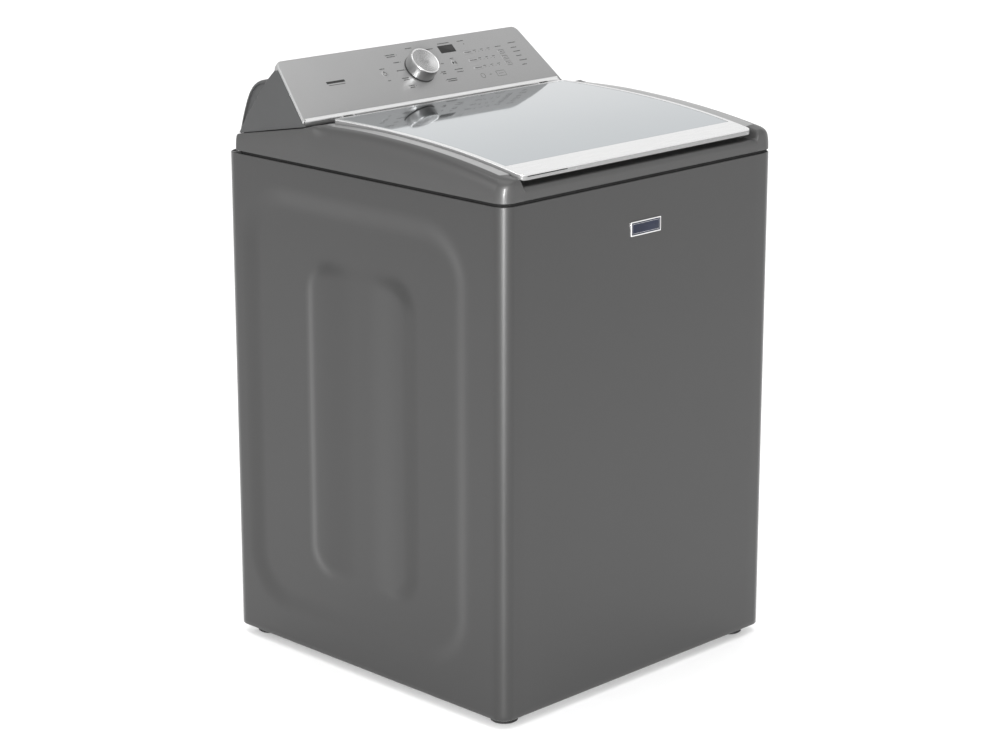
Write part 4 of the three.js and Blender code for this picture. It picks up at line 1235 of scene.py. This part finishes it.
def legends():
    rng = random.Random(7)
    fixed = []
    for x, s, width in ((-82.3, 76.5, 12), (-82.3, 48.6, 7), (9.7, 113.4, 16), (95.8, 76.2, 9)):
        fixed += ink_bars(x, s, width, 1.9, rng)
    cycle_labels = (
        (-43.2, 104.6, 24, 2), (-39.2, 86, 14, 1), (-41.7, 67.2, 19, 1), (-41.7, 48.8, 17, 2),
        (-39.2, 30.3, 14, 2),
        (54.7, 104.6, 24, 1), (65.4, 67.4, 6, 1), (55.7, 48.8, 12, 2), (63.5, 30.3, 26, 2))
    for x, s, width, lines in cycle_labels:
        for k in range(lines):
            fixed += ink_bars(x, s - 4.2 * k, width - 3 * k, 2.1, rng)
        toward = -1 if x > 0 else 1
        fixed.append(ink_dot(x + toward * (width / 2 + 3.2), s - 2.1 * (lines - 1), 0.75))
    for x, s, width in ((99.7, 112.9, 30), (144.2, 112.4, 17), (95.8, 49.8, 21), (95.8, 43.5, 16),
        (226.9, 87, 15)):
        fixed += ink_bars(x, s, width, 1.8, rng)
    fixed.append(ink_dot(148.6, 104.3, 1.1))
    for s in (84.0, 64.5, 45.9):
        for x in (163.8, 182.6, 200.5):
            fixed += ink_bars(x, s + 2.6, 7, 1.5, rng)
            fixed.append(ink_dot(x, s - 1.2, 0.8))
        for x in (173, 191.5):
            fixed.append(ink_quad(x - 1.2, x + 1.2, s - 1.4, s - 1.0))
    fixed += ink_bars(163.8, 26.4, 6, 1.2, rng)
    fixed.append(ink_outline(rounded_outline(0.1379, 0.1489, 0.0206, 0.0316, 0.0054, 8), 0.0007))
    fixed.append(ink_outline(rounded_outline(0.1795, 0.2020, 0.0190, 0.0318, 0.0012, 3), 0.0006))
    fixed.append(ink_quad(184.5, 197, 25.1, 25.7))
    for s, width in ((90.9, 20), (79.1, 15), (69.4, 18), (58.6, 14), (47.4, 20), (36.8, 12)):
        fixed += ink_bars(257, s, width, 1.8, rng, "left")
    plain_bar = [ink_quad(-226, -182, 62.5, 67.5), ink_quad(-224, -184, 58.2, 59.3)]
    fixed += plain_bar
    place(placed(joined("console_legends", fixed), FASCIA_MATRIX), "cabinet", slot="black_plastic")
    key_legends(rng)


def key_legends(rng):
    """Marks printed on the moving keys: they ride with each key."""
    marks = {name: [] for name in KEY_SPOTS}
    x, s = KEY_SPOTS["power_key"][:2]
    centre = (x * MM, s * MM)
    ring = [(centre[0] + 0.0046 * math.cos(a), centre[1] + 0.0046 * math.sin(a), math.cos(a), math.sin(a))
            for a in np.linspace(0, 2 * math.pi, 33)[:-1]]
    marks["power_key"] += [ink_outline(ring, 0.0009), ink_quad(x - 0.45, x + 0.45, s + 0.8, s + 6.2)]
    x, s = KEY_SPOTS["start_pause_key"][:2]
    marks["start_pause_key"] += [ink_polygon([(x - 5.2, s - 3.4), (x - 0.2, s), (x - 5.2, s + 3.4)]),
                                 ink_quad(x + 1.6, x + 2.8, s - 3.2, s + 3.2),
                                 ink_quad(x + 4.2, x + 5.4, s - 3.2, s + 3.2)]
    for name in ("temperature_key", "soil_level_key", "spin_speed_key"):
        x, s = KEY_SPOTS[name][:2]
        marks[name] += ink_bars(x, s, 18, 1.6, rng)
    for name in ("option_upper_key", "option_middle_key", "option_lower_key"):
        x, s = KEY_SPOTS[name][:2]
        box = rounded_outline((x - 6.6) * MM, (x + 6.6) * MM, (s - 4.2) * MM, (s + 4.2) * MM, 0.0012, 3)
        marks[name] += [ink_outline(box, 0.0006)] + ink_bars(x, s, 6, 1.2, rng)
    lift = Matrix.Translation((0, 0, 0.0001))
    for name, pieces in marks.items():
        place(placed(joined(f"{name}_legend", pieces), FASCIA_MATRIX @ lift), name, slot="black_plastic")


# ---- emblem -------------------------------------------------------------------------------
def emblem():
    """A blank dark plate in a bright rim."""
    lo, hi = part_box("front_emblem")
    half_w, half_h = (hi.x - lo.x) / 2, (hi.z - lo.z) / 2
    thick = hi.y - lo.y
    stand = Matrix.Translation((0, hi.y, (lo.z + hi.z) / 2)) @ UPRIGHT

    def inside(inset, r):
        return rounded_outline(-half_w + inset, half_w - inset, -half_h + inset, half_h - inset, r)

    rim = pad("emblem_rim", inside(0, 0.0015), 0, thick, 0.0005, EMBLEM_RIM)
    cut_by(rim, prism("hollow", inside(0.0022, 0.001), thick - 0.0007, thick + 0.01))
    place(placed(rim, stand), "cabinet", "front_emblem", slot="emblem")
    face = pad("emblem_face", inside(0.0023, 0.001), thick - 0.00068, thick - 0.0003, 0.0001, EMBLEM_ENAMEL)
    place(placed(face, stand), "cabinet", slot="emblem")
    line = ink_outline(inside(0.0045, 0.001), 0.0004)
    line.data.materials.clear()
    line.data.materials.append(EMBLEM_RIM)
    place(placed(line, stand @ Matrix.Translation((0, 0, thick - 0.0003))), "cabinet", slot="emblem")


# ---- feet ---------------------------------------------------------------------------------
def feet():
    boot_profile = [(0, 0.0), (0.0225, 0.0), (0.0245, 0.0015), (0.025, 0.006), (0.0235, 0.0085),
        (0.0195, 0.0102), (0, 0.0102)]
    nut_profile = [(0, 0.0102), (0.0105, 0.0102), (0.011, 0.0112), (0.011, 0.0155), (0.0105, 0.0165),
        (0, 0.0165)]
    for tag, node in zip(CORNERS, FOOT_NODES):
        centre = Matrix.Translation((*centre_of(node), 0))
        boot = lathe("boot", boot_profile, RUBBER, 64)
        nut = lathe("nut", nut_profile, ZINC, 6, 20)
        stud = lathe("stud", thread_profile(0.005, 0.0165, 0.058, 0.00125), ZINC, 24, 60)
        foot = joined(f"foot_{tag}", [boot, nut, stud])
        place(placed(foot, centre), f"foot_{tag}", node, slot="rubber")


def thread_profile(r, z0, z1, pitch):
    points = [(0, z0)]
    count = int((z1 - z0) / pitch)
    for k in range(count):
        points += [(r * 0.88, z0 + k * pitch), (r, z0 + (k + 0.5) * pitch)]
    return points + [(r * 0.88, z1), (0, z1)]


# ---- tub, basket and drive ----------------------------------------------------------------
def perforated_basket():
    """Stainless basket: a wall of punched holes between plain bands, over a pressed base."""
    lo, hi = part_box("wash_basket")
    r = (hi.x - lo.x) / 2 - 0.0004
    wall = 0.0012
    z_low, z_high = lo.z + 0.060, hi.z - 0.040
    around, up = 72, 14
    hole_r = 0.0022
    verts, faces = [], []
    step_a, step_z = 2 * math.pi / around, (z_high - z_low) / up
    lattice = {}

    def vertex(a, z):
        key = (round(a / step_a, 4) % around, round(z, 6))
        if key not in lattice:
            lattice[key] = len(verts)
            verts.append((r * math.cos(a), r * math.sin(a), z))
        return lattice[key]

    for i in range(around):
        for j in range(up):
            a0, a1 = i * step_a, (i + 1) * step_a
            z0, z1 = z_low + j * step_z, z_low + (j + 1) * step_z
            am, zm = (a0 + a1) / 2, (z0 + z1) / 2
            rim = [vertex(a0, z0), vertex(am, z0), vertex(a1, z0), vertex(a1, zm),
                   vertex(a1, z1), vertex(am, z1), vertex(a0, z1), vertex(a0, zm)]
            base = len(verts)
            for k in range(8):
                t = math.radians(225 + 45 * k)
                a, z = am + hole_r * math.cos(t) / r, zm + hole_r * math.sin(t)
                verts.append((r * math.cos(a), r * math.sin(a), z))
            for k in range(8):
                m = (k + 1) % 8
                faces.append((rim[k], rim[m], base + m, base + k))
    wall_piece = mesh_from_lists("basket_wall", verts, faces, STAINLESS, 60)
    thickened(wall_piece, wall, 50)
    z0, z1 = lo.z, hi.z
    base_profile = [
        (0.027, z0 + 0.0005), (0.12, z0 + 0.0005), (0.20, z0 + 0.002), (r - 0.032, z0 + 0.003),
        (r - 0.010, z0 + 0.010), (r, z0 + 0.030), (r, z_low), (r - wall, z_low), (r - wall, z0 + 0.032),
        (r - 0.012, z0 + 0.0125), (r - 0.034, z0 + 0.0052), (0.20, z0 + 0.0045), (0.12, z0 + 0.003),
        (0.027, z0 + 0.003), (0.027, z0 + 0.0005)]
    base_piece = lathe("basket_base", base_profile, STAINLESS, 144)
    collar = lathe("basket_collar", [(r, z_high), (r, z1), (r - wall, z1), (r - wall, z_high), (r, z_high)],
        STAINLESS, 144)
    basket = joined("perforated_basket", [wall_piece, base_piece, collar])
    place(placed(basket, ON_TUB_AXIS), "basket", "wash_basket", slot="stainless")


def balance_ring():
    lo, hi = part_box("balance_ring")
    r, z = (hi.x - lo.x) / 2, lo.z
    profile = [
        (r, z + 0.001), (r, z + 0.031), (r - 0.003, z + 0.036), (r - 0.012, z + 0.0405),
        (r - 0.020, z + 0.041), (r - 0.034, z + 0.0385), (r - 0.042, z + 0.034), (r - 0.044, z + 0.028),
        (r - 0.044, z + 0.008), (r - 0.040, z + 0.003), (r - 0.030, z + 0.0005), (r - 0.001, z + 0.0002),
        (r, z + 0.001)]
    ring = lathe("balance_ring_shell", profile, WHITE_PLASTIC, 144)
    ribs = []
    for k in range(24):
        rib = pad("rib", rounded_outline(r - 0.041, r - 0.008, -0.0012, 0.0012, 0.0011, 3), z + 0.036,
            z + 0.0412, 0.0006, WHITE_PLASTIC)
        ribs.append(turned(rib, 2 * math.pi * k / 24))
    piece = joined("balance_ring_shell", [ring] + ribs)
    place(placed(piece, ON_TUB_AXIS), "basket", "balance_ring",
        slot="white_plastic")


def wash_plate():
    """Low impeller with six radial fins and a capped hub."""
    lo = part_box("wash_plate")[0]
    z = lo.z
    disc = lathe("disc", [
        (0, z), (0.205, z + 0.0075), (0.2185, z + 0.013), (0.2215, z + 0.018), (0.2195, z + 0.0235),
        (0.213, z + 0.0255), (0.200, z + 0.0225), (0.150, z + 0.0178), (0.100, z + 0.0185),
        (0.062, z + 0.022), (0.045, z + 0.034),
        (0.0385, z + 0.056), (0.034, z + 0.066), (0.022, z + 0.0735), (0, z + 0.0757)], WHITE_PLASTIC, 128)
    fins = []
    for k in range(6):
        rings = []
        for radius in np.linspace(0.032, 0.196, 26):
            t = (radius - 0.034) / 0.162
            crest = z + 0.014 + 0.010 + 0.036 * (1 - t) ** 1.6 + 0.006 * (1 - abs(2 * t - 1))
            width = 0.0075 + 0.0035 * (1 - t)
            ring = []
            for a in np.linspace(0, math.pi, 13):
                ring.append((radius, -width * math.cos(a),
                    z + 0.010 + (crest - z - 0.010) * math.sin(a) ** 0.7))
            rings.append(ring)
        fin = mesh_from_lists("fin", *ring_loft(rings), WHITE_PLASTIC, 50)
        fins.append(turned(fin, math.pi / 3 * k))
    plate = joined("wash_plate_moulding", [disc] + fins)
    place(placed(plate, ON_TUB_AXIS), "wash_drive", "wash_plate",
        slot="white_plastic")


def outer_tub():
    """Moulded tub with stiffening hoops, and its ribbed suspension ears."""
    lo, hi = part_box("tub_ring")
    r = (hi.x - lo.x) / 2
    base = 0.300
    top = lo.z
    profile = [(0.033, base + 0.0005), (r - 0.043, base + 0.0005), (r - 0.016, base + 0.014),
        (r - 0.004, base + 0.040)]
    for k in range(6):
        z = base + 0.09 + k * 0.085
        profile += [(r - 0.0042, z), (r - 0.0008, z + 0.003), (r - 0.0008, z + 0.008),
            (r - 0.0042, z + 0.011)]
    profile += [(r - 0.0035, top - 0.007), (r, top - 0.006), (r, top - 0.0003), (r - 0.0065, top - 0.0003)]
    profile += [(r - 0.0065, base + 0.043), (r - 0.018, base + 0.018), (r - 0.044, base + 0.0055),
        (0.033, base + 0.0055)]
    profile.append(profile[0])
    shell = lathe("outer_tub_shell", profile, WHITE_PLASTIC, 144)
    ears = []
    for node in ROD_NODES:
        x, y = centre_of(node)
        reach, turn = math.hypot(x, y - tub_axis_y), math.atan2(y - tub_axis_y, x)
        arm = pad("ear", rounded_outline(r - 0.006, reach + 0.0215, -0.0235, 0.0235, 0.018), 0.4005, 0.4088,
            0.0012, WHITE_PLASTIC)
        hole = lathe("hole", [(0, 0.39), (0.009, 0.39), (0.009, 0.42), (0, 0.42)], WHITE_PLASTIC, 32)
        cut_by(arm, placed(hole, Matrix.Translation((reach, 0, 0))))
        rib = mesh_from_lists("rib", [(px, py, pz) for py in (-0.003, 0.003) for px, pz in (
            (r - 0.005, 0.408), (reach - 0.015, 0.408), (reach - 0.018, 0.418), (r - 0.004, 0.4685))],
            [(0, 1, 2, 3), (7, 6, 5, 4), (0, 4, 5, 1), (1, 5, 6, 2), (2, 6, 7, 3),
                (3, 7, 4, 0)], WHITE_PLASTIC)
        bevelled(rib, 0.0008)
        ears += [turned(arm, turn), turned(rib, turn)]
    piece = joined("outer_tub_moulding", [shell] + ears)
    place(placed(piece, ON_TUB_AXIS), "tub", "outer_tub", slot="white_plastic")


def tub_ring():
    lo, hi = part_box("tub_ring")
    r, z0, z1 = (hi.x - lo.x) / 2, lo.z, hi.z
    mouth = 0.225
    profile = [
        (r - 0.0005, z0), (r, z0 + 0.001), (r, z0 + 0.005), (r - 0.004, z0 + 0.0085),
        (r - 0.030, z1 - 0.003), (r - 0.036, z1 - 0.0005), (r - 0.044, z1), (mouth + 0.010, z1 - 0.0025),
        (mouth + 0.002, z1 - 0.004), (mouth, z1 - 0.0065), (mouth + 0.0015, z1 - 0.009),
        (mouth + 0.012, z1 - 0.0075), (r - 0.044, z1 - 0.005), (r - 0.036, z1 - 0.006),
        (r - 0.0075, z0 + 0.004), (r - 0.0075, z0), (r - 0.0005, z0)]
    ring = lathe("tub_ring_moulding", profile, WHITE_PLASTIC, 144)
    clips = []
    for k in range(12):
        clip = pad("clip", rounded_outline(r - 0.012, r + 0.0005, -0.008, 0.008, 0.002, 3), z0 + 0.001,
            z0 + 0.0095, 0.001, WHITE_PLASTIC)
        clips.append(turned(clip, 2 * math.pi * (k + 0.5) / 12))
    piece = joined("tub_ring_moulding", [ring] + clips)
    place(placed(piece, ON_TUB_AXIS), "tub", "tub_ring", slot="white_plastic")


def springs():
    """Coil springs between each rod's foot and the tub's ear."""
    for tag, node in zip(CORNERS, SPRING_NODES):
        lo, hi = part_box(node)
        x, y = centre_of(node)
        wire, turns = 0.0018, 9
        r = (hi.x - lo.x) / 2 - wire
        low, high = lo.z + wire, hi.z - wire
        points = []
        count = turns * 24
        for k in range(count + 1):
            share = k / count
            flat = np.clip((share - 0.08) / 0.84, 0, 1)
            a = 2 * math.pi * turns * share
            points.append((x + r * math.cos(a), y + r * math.sin(a), low + (high - low) * float(flat)))
        coil = tube_along(f"coil_{tag}", points, wire, ZINC, 8)
        place(coil, "cabinet", node, slot="zinc_steel")
        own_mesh(coil)


def drive_bolts():
    """Bolts on the underside of the drive frame."""
    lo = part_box("drive_frame")[0]
    spots = ((-0.06, 0.060), (0.075, 0.062), (-0.06, -0.060), (0.075, -0.062), (0.245, 0.06), (0.245, -0.06))
    bolts = [hex_screw((x, tub_axis_y + y, lo.z - 0.0002), (0, 0, -1), 0.006) for x, y in spots]
    place(joined("drive_bolts", bolts), "tub", slot="zinc_steel")


def plain_nodes():
    """Inner pieces keep their CAD shape, with broken edges and their own finish."""
    looks = {
        "base_frame": (ZINC, "cabinet", 0.0012), "bleach_cup": (WHITE_PLASTIC, "cabinet", 0.0006),
        "lid_lock_housing": (BLACK_PLASTIC, "cabinet", 0.0008), "cord_gland": (RUBBER, "cabinet", 0.0008),
        "drain_outlet": (BLACK_PLASTIC, "cabinet", 0.0006),
        "water_inlet_valve": (WHITE_PLASTIC, "cabinet", 0.0008),
        "control_board": (BOARD, "cabinet", 0.0003), "lid_strike": (BLACK_PLASTIC, "lid", 0.0006),
        "selector_shaft": (BRASS, "selector", 0.0003), "gearcase": (CAST, "tub", 0.0012),
        "drive_frame": (ZINC, "tub", 0.0008), "motor": (ZINC, "tub", 0.0012),
        "drain_pump": (BLACK_PLASTIC, "tub", 0.0010),
        "drive_belt": (RUBBER, "tub", 0.0004), "drive_pulley": (CAST, "wash_drive", 0.0006),
        "drive_shaft": (STAINLESS, "wash_drive", 0.0006), "motor_pulley": (ZINC, "motor_rotor", 0.0004),
    }
    for tag, _ in SIDES:
        looks[f"lid_hinge_arm_{tag}"] = (BLACK_PLASTIC, "lid", 0.0005)
        looks[f"lid_hinge_bracket_{tag}"] = (ZINC, "cabinet", 0.0004)
    for node in ROD_NODES:
        looks[node] = (ZINC, "cabinet", 0.0006)
    slots = {part["node"]: part["material_slot"] for part in frame["record"]["subparts"]}
    for node, (material, body, width) in looks.items():
        piece = copy_of(node, f"{node}_finished", material, width)
        place(piece, body, node, slot=slots[node])


# ---- build --------------------------------------------------------------------------------
make_camera()
make_light()
make_floor()
cabinet_shell()
corner_gussets()
rear_panel()
top_panel()
lid()
fascia()
keys()
end_caps()
rear_housing()
selector()
display()
legends()
emblem()
feet()
perforated_basket()
balance_ring()
wash_plate()
outer_tub()
tub_ring()
springs()
drive_bolts()
plain_nodes()
